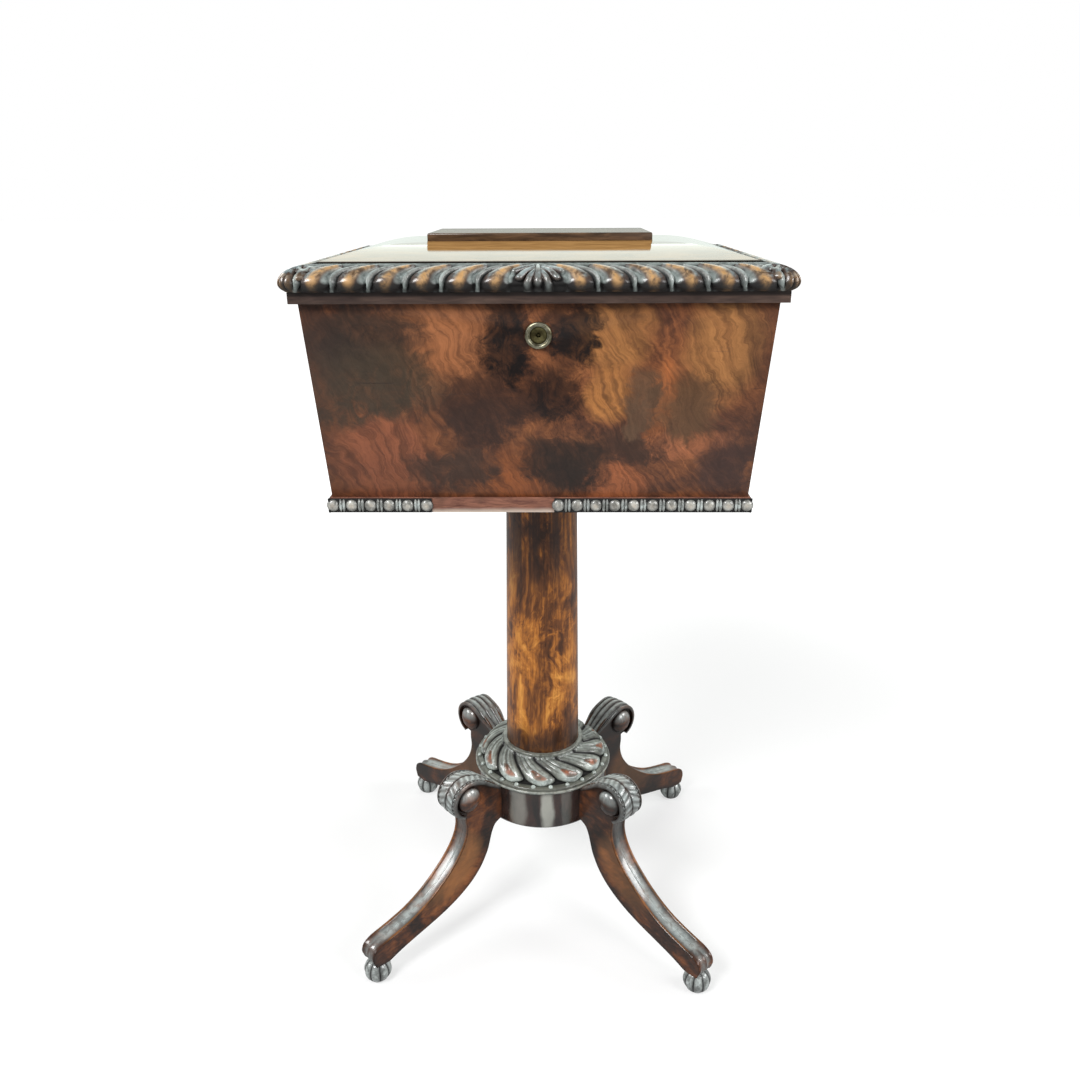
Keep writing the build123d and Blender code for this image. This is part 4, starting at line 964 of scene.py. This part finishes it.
rim_radius = rim_high[0]
rim_top = collar_low[2]
pearls, pearl_radius, pearl_circle = 24, 2.8, 77.2
rim_outline = [(foot_radius, drum_high[2]), (rim_radius - 0.8, drum_high[2]),
               *arc((rim_radius - 1.6, drum_high[2] + 1.6), (1.6, 1.6), -60, 60, 6),
               (rim_radius - 1.6, drum_high[2] + 3.3),
               *arc((rim_radius - 3.4, rim_top - 1.9), (1.9, 1.9), 0, 90, 6),
               (foot_radius, rim_top), (foot_radius, drum_high[2])]
pearl = lathe([(0, -0.4), (pearl_radius, -0.4), *arc((0, 0), (pearl_radius, pearl_radius), 0, 90, 6)], 14,
              high=1.0, rub=0.0, pale=0.9)
pearl = moved(pearl, 0, (pearl_circle, 0, rim_top - 0.1))
ring_of_pearls = [moved(pearl, (place + 0.5) * 360 / pearls) for place in range(pearls)]
rim_spots = np.array(rim_outline)
# The rim's outer lower edge: golden wear and a painted highlight.
edge_wear_and_sheen = ((rim_spots[:, 0] > rim_radius - 1.5) & (rim_spots[:, 1] < drum_high[2] + 3.0))[:, None]
rim_ring = lathe(rim_outline, 160, high=0.6, rub=0.5 * edge_wear_and_sheen, pale=0.10 + 0.5 * edge_wear_and_sheen)
piece("moulded_rim", join([rim_ring] + ring_of_pearls), "stand_and_chest", rim_finish, ["base_rim"], 40.0)

# %% Carved collar
collar_leaves = 12
collar_sweep = 27.0
collar_run, collar_rise = 26.4, 21.8
neck_radius = 48.5
leaf_tip = 0.24
creases = ((0, 1.0), (-0.5, 0.6), (0.5, 0.6))


def collar_shell():
    """A quarter-ellipse skirt under twelve fat leaves that nearly touch and taper into sweeping veins."""
    rows = 72
    angle = np.linspace(0, 2 * np.pi, 960, endpoint=False)[None, :]
    share = np.linspace(0, 1, rows)[:, None]
    skirt = arc((neck_radius, rim_top), (collar_run, collar_rise), 0, 90, rows)
    radius, level = skirt[:, 0][:, None], skirt[:, 1][:, None]
    slope = np.radians(np.linspace(0, 90, rows))
    out = np.stack([np.cos(slope) / collar_run, np.sin(slope) / collar_rise], axis=-1)
    out = out / np.linalg.norm(out, axis=1, keepdims=True)
    centre = -np.radians(collar_sweep) * ((neck_radius + collar_run - radius) / collar_run) ** 0.9
    pitch = 2 * np.pi / collar_leaves
    off = ((angle + np.pi / 2 - centre + pitch / 2) % pitch - pitch / 2) / (pitch / 2)
    tip = np.sqrt(np.clip(1 - ((leaf_tip - share) / leaf_tip) ** 2, 0, 1))
    width = np.where(share < leaf_tip, 0.97 * tip, 0.97 - 0.07 * fade(share, leaf_tip, 0.9)) + 0.001
    side = off / width
    lobe = np.sqrt(np.clip(1 - side**2, 0, 1))
    crease = sum(depth * np.exp(-(((side - place) / 0.11) ** 2)) for place, depth in creases)
    crease = crease * fade(share, 0.30, 0.50)
    bulb = lobe * fade(share, 0.34, 0.18)
    spoon = pen(side * 10 + 0 * share, 46 * share + 0 * side, [(1.0, 12.5), (0.0, 22.0)], [4.4, 2.4])
    high = lobe**0.7 * (1 - 0.30 * fade(share, 0.30, 0.80)) - 0.26 * crease - 0.30 * spoon
    high = np.clip(high, 0, 1)
    sink = (4.6 * (1 - high) - 0.9 * bulb) * fade(share, 1.0, 0.94) * fade(share, -0.02, 0.04)
    carved = radius - out[:, 0][:, None] * sink
    points = around(carved, angle, level - out[:, 1][:, None] * sink)
    bottom = around(foot_radius, angle[0], rim_top)
    inner = bottom + np.array([0, 0, collar_rise])
    points = np.concatenate([bottom[None], points, inner[None], bottom[None]])
    # Painted highlight: the swelling of each leaf and its round tip turn pale.
    pale = np.clip(0.62 * lobe**2 * (1 - 0.8 * crease) + 0.4 * bulb**2, 0, 1) * (1 - spoon)
    layers = {key: np.vstack([value, value[-1:]])
              for key, value in with_ends(high=high, rub=0.8 * spoon, pale=pale).items()}
    return grid(points, closed=True, **layers)


neck = [(foot_radius, rim_top + 20), (neck_radius, rim_top + 20),
        *arc((neck_radius - 1.3, collar_high[2] - 1.3), (1.3, 1.3), 0, 90, 6),
        (foot_radius, collar_high[2]), (foot_radius, rim_top + 20)]
piece("carved_collar_leaves", join([collar_shell(), lathe(neck, 120, high=0.7, rub=0, pale=0.2)]),
      "stand_and_chest", collar_finish, ["carved_collar"], 60.0)

# %% [markdown]
# ## Scrolled legs on melon feet
#
# Each leg springs from the drum, rolls into a scroll and runs down to a bun foot. Its side is the space
# between two curves, an outer and an inner one, with the same number of knots, so that a section is
# carried from one to the other. The section's face is a hollow between raised edges, with a low line in
# the middle. The scroll is two shells more: a strap that runs from the rim over the scroll, with a leaf
# on the front legs and flutes on the back ones, and a cheek on each side with a proud ball in it.

# %% Curves of the leg
outer_knots = [(74, 176), (82, 180.6), (92, 189), (104, 196.5), (115, 195), (123, 184), (127.5, 170),
               (129.5, 155), (128.4, 142), (130.3, 130.7), (135.1, 119.9), (141.7, 110.2), (149.4, 101.4),
               (157.9, 93.4), (166.9, 85.8), (176.3, 78.8), (186.1, 72.4), (196.4, 66.8), (207.2, 62),
               (218.3, 58.4), (229.7, 55.4), (241.1, 52.7), (252.5, 50), (261, 45), (264.2, 37),
               (262.6, 29.5), (260.5, 24.6)]
inner_knots = [(74, 135), (78, 133.6), (82, 132), (86, 130), (89, 127), (91.2, 123), (93.1, 118.7),
               (95, 112.5), (96.8, 106.4), (99.6, 98.3), (104, 90), (109, 82.2), (115.5, 74.8),
               (123.5, 67.6), (132.5, 61.4), (142.3, 56), (152.7, 51.2), (163.8, 47.1), (175.1, 43.6),
               (186.5, 40.5), (197.9, 37.7), (209.3, 34.8), (220.7, 31.8), (229, 29.2), (235, 27.1),
               (239.5, 25.4), (243, 24.2)]
leg_half = 12.0
reed_depth = 2.4
eye_spot = (126.0, 181.3)


def leg_section():
    """Round the leg's section: (across, from inner 0 to outer 1, relief in mm)."""
    back = [(y, 0.0, 0.0) for y in np.linspace(-1, 1, 7)]
    right = [(1.0, t, 0.0) for t in np.linspace(0.08, 0.97, 8)]
    face = [(y, 1.0, reeds(y)) for y in np.linspace(1, -1, 41)]
    left = [(-1.0, t, 0.0) for t in np.linspace(0.97, 0.08, 8)]
    return np.array(back + right + face + left)


def reeds(y):
    """Relief of the leg's face: raised edges, a smooth hollow and a low line in the middle."""
    edge = np.sqrt(max(0.0, 1 - ((abs(y) - 0.86) / 0.14) ** 2))
    line = np.sqrt(max(0.0, 1 - (y / 0.10) ** 2))
    hollow = 0.62 + 0.38 * np.cos(y * np.pi / 2)
    return -reed_depth * hollow * (1 - max(edge, 0.30 * line))


def leg_shell(painted_light):
    """Sections of the leg from the drum to the toe; the smaller the argument, the more painted shade darkens
    its sides.
    """
    count = 150
    outer, inner = smooth_line(outer_knots, count), smooth_line(inner_knots, count)
    section = leg_section()
    reach = outer - inner
    unit = reach / np.linalg.norm(reach, axis=1, keepdims=True)
    across, lift, relief = section[:, 0], section[:, 1], section[:, 2]
    face = lift >= 1.0
    travel = np.linspace(0, 1, count)[:, None]
    leaf, leaf_high = toe_leaf(travel, across[None, :] * leg_half)
    depth = np.where(face[None, :], relief[None, :] * (1 - leaf) + leaf_high, 0.0)
    plane = inner[:, None, :] + lift[None, :, None] * reach[:, None, :] + depth[..., None] * unit[:, None, :]
    points = np.stack([plane[..., 0], np.broadcast_to(across * leg_half, plane.shape[:2]), plane[..., 1]], -1)
    crest = np.clip(1 + depth / reed_depth, 0, 1)
    from_eye = np.hypot(plane[..., 0] - eye_spot[0], plane[..., 1] - eye_spot[1])
    # Painted shade: the sides darken round the ball and towards the inner edge, the face under the scroll.
    flank = fade(lift, 0.0, 0.25)[None, :]
    neck = 0.3 + 0.7 * fade(travel, 0.30, 0.42)
    sides = (0.1 + 0.7 * fade(from_eye, 15.0, 24.0)) * (0.25 + 0.75 * flank) * painted_light
    high = np.where(face[None, :], (0.45 + 0.55 * crest) * neck, sides)
    # Painted light: a golden glow on the sides, scaled by how lit the leg is painted; on the face, rub is wear.
    glow = fade(travel, 0.26, 0.38) * fade(travel, 0.70, 0.52) * fade(lift, 0.15, 0.45)[None, :]
    rub = np.where(face[None, :], crest**3 * (1 - leaf) * 0.45 * neck, 0.6 * glow * painted_light)
    # Painted reflection: the face's hollow turns silvery below the scroll.
    painted_reflection = (0.2 + 0.8 * fade(travel, 0.32, 0.46)) * (1 - 0.4 * leaf)
    pale = np.where(face[None, :], painted_reflection * (1 - crest**3) * (0.5 + 0.5 * np.cos(across * np.pi)), 0.0)
    return grid(capped(points), closed=True, **with_ends(high=high, rub=rub, pale=0.8 * pale))


# %% Leaf on the toe


def toe_leaf(travel, across):
    """A leaf wrapped over the toe: where it is (0 to 1) and its relief, with five blades."""
    mask = fade(travel, 0.80, 0.85) * (np.abs(across) < 11.6)
    blades = 0.5 + 0.5 * np.cos(across * np.pi / 5.2)
    curl = np.sin(np.clip((travel - 0.80) / 0.20, 0, 1) * np.pi)
    return mask, mask * (-2.0 + 1.9 * blades * (0.4 + 0.6 * curl))


# %% Scroll of the leg
scroll_radius = 24.3
strap_half, strap_root_half, strap_depth = 17.0, 13.0, 5.4
ball_radius, ball_proud = 15.6, 9.8
cheek_level = 11.8
strap_path = [(77.0, 178.4), (85.0, 184.0), (94.5, 191.6), (104.5, 198.8)]


def scroll_cheek():
    """Both cheeks: a proud polished ball, its top painted with a highlight, in a groove darkened with painted
    shade, as a height above the middle by radius.
    """
    radius = np.concatenate([ball_radius * np.sin(np.radians(np.linspace(0, 86, 20))),
                             np.linspace(ball_radius + 0.5, 21.0, 8)])[:, None]
    turn = np.linspace(0, 2 * np.pi, 72, endpoint=False)[None, :]
    ball = ball_proud * np.sqrt(np.clip(1 - (radius / ball_radius) ** 2, 0, 1))
    groove = cheek_level - 0.8 + 0.9 * fade(radius, ball_radius + 1.5, 20.0)
    depth = np.where(radius <= ball_radius, cheek_level + ball, groove)
    half = np.stack([radius * np.cos(turn), depth + 0 * turn, radius * np.sin(turn)], axis=-1)
    rim = half[-1:] * np.array([1, 0, 1])
    # Painted shade in the groove round the ball, and a painted highlight on the ball's top.
    high = np.vstack([0.02 + 0.45 * fade(ball, 1.0, 6.0), [[0.0]]])
    top = fade(radius * np.sin(turn) / ball_radius, 0.0, 0.75) * fade(ball, 2.0, 6.0)
    pale = np.vstack([0.05 * high[:-1] + 0.65 * top, 0 * turn])
    shell = grid(np.concatenate([half, rim]), closed=True, high=high, rub=0.0, pale=pale)
    return moved(join([shell, moved(shell, flip=True)]), 0, (eye_spot[0], 0, eye_spot[1]))


def scroll_strap(fan):
    """The strap from the rim over the scroll: fluted, or with a leaf (`fan`), between raised edges."""
    turn = np.radians(np.linspace(112, -66, 9))
    bend = np.array(eye_spot) + scroll_radius * np.stack([np.cos(turn), np.sin(turn)], axis=-1)
    path = smooth_line(np.vstack([strap_path, bend]), 170)
    step = np.gradient(path, axis=0)
    gone = np.cumsum(np.linalg.norm(step, axis=1))[:, None]
    outward = np.stack([-step[:, 1], step[:, 0]], axis=-1) / np.linalg.norm(step, axis=1, keepdims=True)
    across = np.linspace(-1, 1, 81)[None, :]
    off = np.abs(across)
    flutes = np.abs(np.cos(across * np.pi * 2.0)) ** 0.7
    veins = 0.78 + 0.22 * np.cos(gone * 0.75 - off * 7.0)
    leaf = veins * (1 - 0.8 * np.exp(-((off / 0.07) ** 2)))
    pearls = 0.15 + 0.7 * np.abs(np.cos(gone * 0.55)) * np.exp(-(((off - 0.77) / 0.07) ** 2))
    carve = np.where(off < 0.66, leaf, pearls) if fan else flutes + 0 * gone
    carve = np.where(off < 0.89, carve, 1.0)
    relief = 1.6 * (1 - across**2) - 1.6 - 1.7 * (1 - carve) - 1.2 * fade(off, 0.95, 1.0)
    inside = np.full((len(path), 9), -strap_depth)
    relief = np.hstack([relief, inside])
    half = strap_root_half + (strap_half - strap_root_half) * fade(gone, 4.0, 30.0)
    side = np.concatenate([across[0], np.linspace(1, -1, 9)])[None, :] * half
    points = np.stack([path[:, 0:1] + outward[:, 0:1] * relief, side,
                       path[:, 1:2] + outward[:, 1:2] * relief], axis=-1)
    high = np.hstack([carve, np.zeros((len(path), 9))])
    # Painted highlight: the strap's carving turns silvery, less at its edges.
    dark_edge = np.hstack([1 - 0.75 * fade(off[0], 0.84, 0.93), np.zeros(9)])
    pale = (0.85 if fan else 0.6) * high**1.7 * dark_edge
    return grid(capped(points), closed=True, rub=0, **with_ends(high=0.3 * high, pale=pale))


# %% Foot
foot_lobes = 8
foot_height = 24.0
foot_waist, foot_swell, foot_groove = 9.0, 6.4, 1.9


def melon_foot():
    """A bun with eight lobes: its radius is a turned outline, less a groove between the lobes."""
    level = np.linspace(0, 1, 20)[:, None]
    turn = np.linspace(0, 2 * np.pi, 96, endpoint=False)[None, :]
    swell = np.sin(np.pi * np.clip(level, 0.001, 0.999)) ** 0.7
    rib = np.abs(np.cos(foot_lobes * turn / 2)) ** 0.45
    radius = foot_waist + foot_swell * swell - foot_groove * (1 - rib) * swell
    points = around(radius, turn, foot_height * level)
    high = np.repeat(rib, len(points) + 2, axis=0)
    # Painted highlight: the lobes turn pale.
    return grid(capped(points), closed=True, high=high, rub=0, pale=0.3 * high)


# %% Four legs and feet
corner_turn = {"front_right": -45, "back_right": 45, "back_left": 135, "front_left": 225}
stand_turn = -1.9
# How lit each leg is painted: the smaller, the more painted shade on its sides.
leg_painted_light = {"front_right": 0.5, "back_right": 0.36, "back_left": 0.36, "front_left": 1.0}
foot_circle = 252.0
foot = moved(melon_foot(), 0, (foot_circle, 0, 0))
for corner, diagonal in corner_turn.items():
    turn = diagonal + stand_turn
    scroll = join([scroll_cheek(), scroll_strap("front" in corner)])
    leg = join([leg_shell(leg_painted_light[corner]), scroll])
    piece("scrolled_leg_" + corner, moved(leg, turn), "stand_and_chest", leg_finish, ["leg_" + corner],
          40.0)
    piece("melon_foot_" + corner, moved(foot, turn), "stand_and_chest", foot_finish, ["foot_" + corner],
          50.0)

# %% [markdown]
# ## Lock
#
# The keyhole has a brass nozzle: a turned ring round a sunk plug with a pin in the middle. Both are
# turned shapes, tilted to the splay of the wall.

# %% Nozzle and plug
lock_centre = np.array([0.0, -159.983, 712.0])
lock_tilt = np.arctan2(0.071836, 0.997416)


def at_lock(shell):
    """Turns a shape with its axis along Z so that it points out of the front wall."""
    points, faces, layers = shell
    c, s = np.cos(lock_tilt), np.sin(lock_tilt)
    x, y, z = points[:, 0], points[:, 1], points[:, 2]
    placed = np.stack([x, -c * z + s * y, -s * z - c * y], axis=-1)
    return placed + lock_centre, faces, layers


ring_shell = lathe([(7.6, -6.0), (9.5, -6.0), (9.5, 0.02), (12.0, 0.02), (12.0, 1.0),
                    *arc((10.2, 1.2), (1.8, 1.8), 0, 180, 12), (7.9, 1.0), (7.6, 0.4), (7.6, -6.0)], 72)
piece("keyhole_nozzle", at_lock(ring_shell), "stand_and_chest", nozzle_finish, ["lock_nozzle"], 40.0)
plug_shell = lathe([(0, -5.0), (7.5, -5.0), (7.5, 0.0), *arc((6.9, 0.0), (0.6, 0.6), 0, 90, 4),
                    *np.linspace((6.2, 0.4), (2.2, -0.9), 6), (2.0, -1.6), (1.6, -3.6), (0.9, -3.6),
                    (0.9, 0.4), (0.0, 0.6)], 64)
piece("keyhole_plug", at_lock(plug_shell), "lock_plug", plug_finish, ["lock_plug"], 40.0)

# %% [markdown]
# ## Inside the chest
#
# Under the lid are four canisters with turned knobs, two glass mixing bowls in a deck, and the lining
# of the lid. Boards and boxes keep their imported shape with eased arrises; knobs and bowls are turned.
# Metalwork, the lid's rails and the canisters' lids are flat and sharp, and stay as they are packed.

# %% Canisters, deck and lining
for node in ("partition_left", "partition_right", "cross_partitions", "bowl_deck", "bearer"):
    eased(node, "planed_" + node, "stand_and_chest", inside_finish, 0.4)
eased("lid_lining", "velvet_lining", "lid", velvet_finish, 0.8)
for corner in corner_turn:
    box_name = "canister_" + corner
    eased(box_name, "veneered_" + box_name, box_name, canister_finish, 0.6)
    low, high = span(box_name + "_knob")
    middle = (low + high) / 2
    outline = smooth_line([(5.6, 6.0), (3.9, 8.0), (3.2, 10.4), (4.4, 12.2), (6.6, 14.6), (7.0, 16.6),
                           (5.8, 19.4), (3.2, 21.4), (0, 22.0)], 34)
    knob = lathe([(0, 0), (2.4, 0), (2.4, 6.0), *outline], 48)
    piece("turned_knob_" + corner, moved(knob, 0, (middle[0], middle[1], low[2])), box_name + "_lid",
          ebony_finish, [box_name + "_knob"], 40.0)

# %% Glass bowls
for end in ("front", "back"):
    low, high = span("glass_bowl_" + end)
    outside = smooth_line([(27.0, 0), (38.0, 12.0), (48.0, 32.0), (54.0, 56.0), (56.0, 75.9)], 24)
    inside = smooth_line([(52.6, 75.9), (50.4, 56.0), (44.0, 34.0), (34.0, 15.0), (23.6, 6.8)], 24)
    bowl = lathe([(0, 0), *outside, (61.4, 76.0), (61.4, 80.0), (60.6, 81.0), (53.4, 81.0), (52.6, 80.0),
                  *inside, (0, 6.8)], 96)
    piece("blown_bowl_" + end, moved(bowl, 0, (0, (low[1] + high[1]) / 2, low[2])), "bowl_" + end, glass_finish,
          ["glass_bowl_" + end], 50.0)

# %% Metalwork, rails and small lids


def dress(nodes, material):
    """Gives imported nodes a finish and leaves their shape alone."""
    for node in nodes:
        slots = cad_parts[node].data.materials
        slots.clear()
        slots.append(material)
    print(material.name, "on", ", ".join(nodes))


dress(["hinge_box_leaves", "hinge_lid_leaves", "hinge_pins", "link_plate", "lock_case", "lock_bolt",
       "brass_screws_box", "brass_screws_lid"], brass_finish)
dress(["iron_screws"], iron_finish)
dress(["lid_frame"], band_polish)
dress(["canister_" + corner + "_lid" for corner in corner_turn], canister_finish)

# %% [markdown]
# ## Floor, light and camera
#
# A pale floor keeps the soft shadow, and glows a little to the camera, the more the further it lies from
# the stand. The room is white to the camera and through glass, and nearly dark otherwise: a white room
# would lie as a haze on every polished face. Four soft lamps light the front and sides, and two large
# ones behind the chest are what its lid mirrors, as windows would be.

# %% Floor and white surroundings


def pale_floor():
    """A floor that is white to the camera where no shadow falls."""
    mesh = bpy.data.meshes.new("floor")
    reach = 30.0
    corners = [(-reach, -reach, 0), (reach, -reach, 0), (reach, reach, 0), (-reach, reach, 0)]
    mesh.from_pydata(corners, [], [(0, 1, 2, 3)])
    made = bpy.data.objects.new("floor", mesh)
    bpy.context.scene.collection.objects.link(made)
    f = Finish("floor_paint")
    x, y = f.here()[:2]
    far = (x * x + y * y).between(0.1, 2.4)
    glow = f.mix(f.seen() * (0.54 + far * 0.46), (0, 0, 0), (1, 1, 1))
    mesh.materials.append(f.surface(Base_Color=(0.45, 0.45, 0.45), Roughness=0.9, Specular_IOR_Level=0.0,
                                    Emission_Color=glow, Emission_Strength=1.0))
    return made


pale_floor()
room = Finish("room", world=True)
sky = room.node("ShaderNodeBackground", {}, {0: room.mix(room.seen(), (0.17, 0.17, 0.175), (1, 1, 1))})
room.node("ShaderNodeOutputWorld", {}, {0: sky})
bpy.context.scene.world = room.material
print("surroundings:", room.material.name)

# %% Lamps


def turn_to(look, side_roll=0.0):
    """A rotation whose -Z looks along `look`, with its X level but for a small roll."""
    look = np.asarray(look, float) / np.linalg.norm(look)
    right = np.cross(look, [0, 0, 1])
    right = right / np.linalg.norm(right)
    top = np.cross(right, look)
    level, upright = np.cos(side_roll), np.sin(side_roll)
    return np.stack([level * right + upright * top, -upright * right + level * top, -look], axis=-1)


def aim(thing, place, look, side_roll=0.0):
    """Puts a lamp or the camera at a place and turns it along a direction."""
    matrix = np.eye(4)
    matrix[:3, :3] = turn_to(look, side_roll)
    matrix[:3, 3] = place
    thing.matrix_world = Matrix(matrix.tolist())


def soft_lamp(name, place, size, power, colour=(1, 1, 1)):
    """A square lamp of `size` metres that looks from `place` at the chest."""
    data = bpy.data.lights.new(name, "AREA")
    data.shape = "SQUARE"
    data.size = size
    data.energy = power
    data.color = colour
    made = bpy.data.objects.new(name, data)
    made.visible_camera = False
    bpy.context.scene.collection.objects.link(made)
    aim(made, place, chest_middle - np.array(place))
    return made


chest_middle = np.array([0, 0, 0.5])
soft_lamp("key", (-1.3, -1.6, 2.2), 0.9, 56.0)
soft_lamp("fill", (1.7, -1.3, 1.4), 1.0, 26.0)
soft_lamp("left", (-2.6, 0.0, 1.5), 1.0, 26.0)
soft_lamp("right", (2.6, 0.0, 1.5), 1.0, 26.0)
soft_lamp("window", (0.0, 2.8, 2.9), 3.0, 40.0, (0.91, 1.0, 0.92))
soft_lamp("horizon", (0.0, 7.0, 0.0), 6.0, 86.0, (0.91, 1.0, 0.92))
print("lamps:", len(bpy.data.lights))

# %% Camera
eye_point = np.array([0.0139, -1.0037, 0.8309])
yaw, dip, roll = -0.0159, 0.3528, -0.005
picture_width = 1080.0
focal_pixels = 947.3

look = np.array([np.sin(yaw) * np.cos(dip), np.cos(yaw) * np.cos(dip), -np.sin(dip)])
lens = bpy.data.cameras.new("camera")
lens.sensor_width = 36.0
lens.lens = focal_pixels / picture_width * lens.sensor_width
camera = bpy.data.objects.new("camera", lens)
bpy.context.scene.collection.objects.link(camera)
aim(camera, eye_point, look, roll)
bpy.context.scene.camera = camera
bpy.context.scene.view_settings.view_transform = "Standard"
print("camera: a lens of", round(lens.lens, 1), "mm at", eye_point)
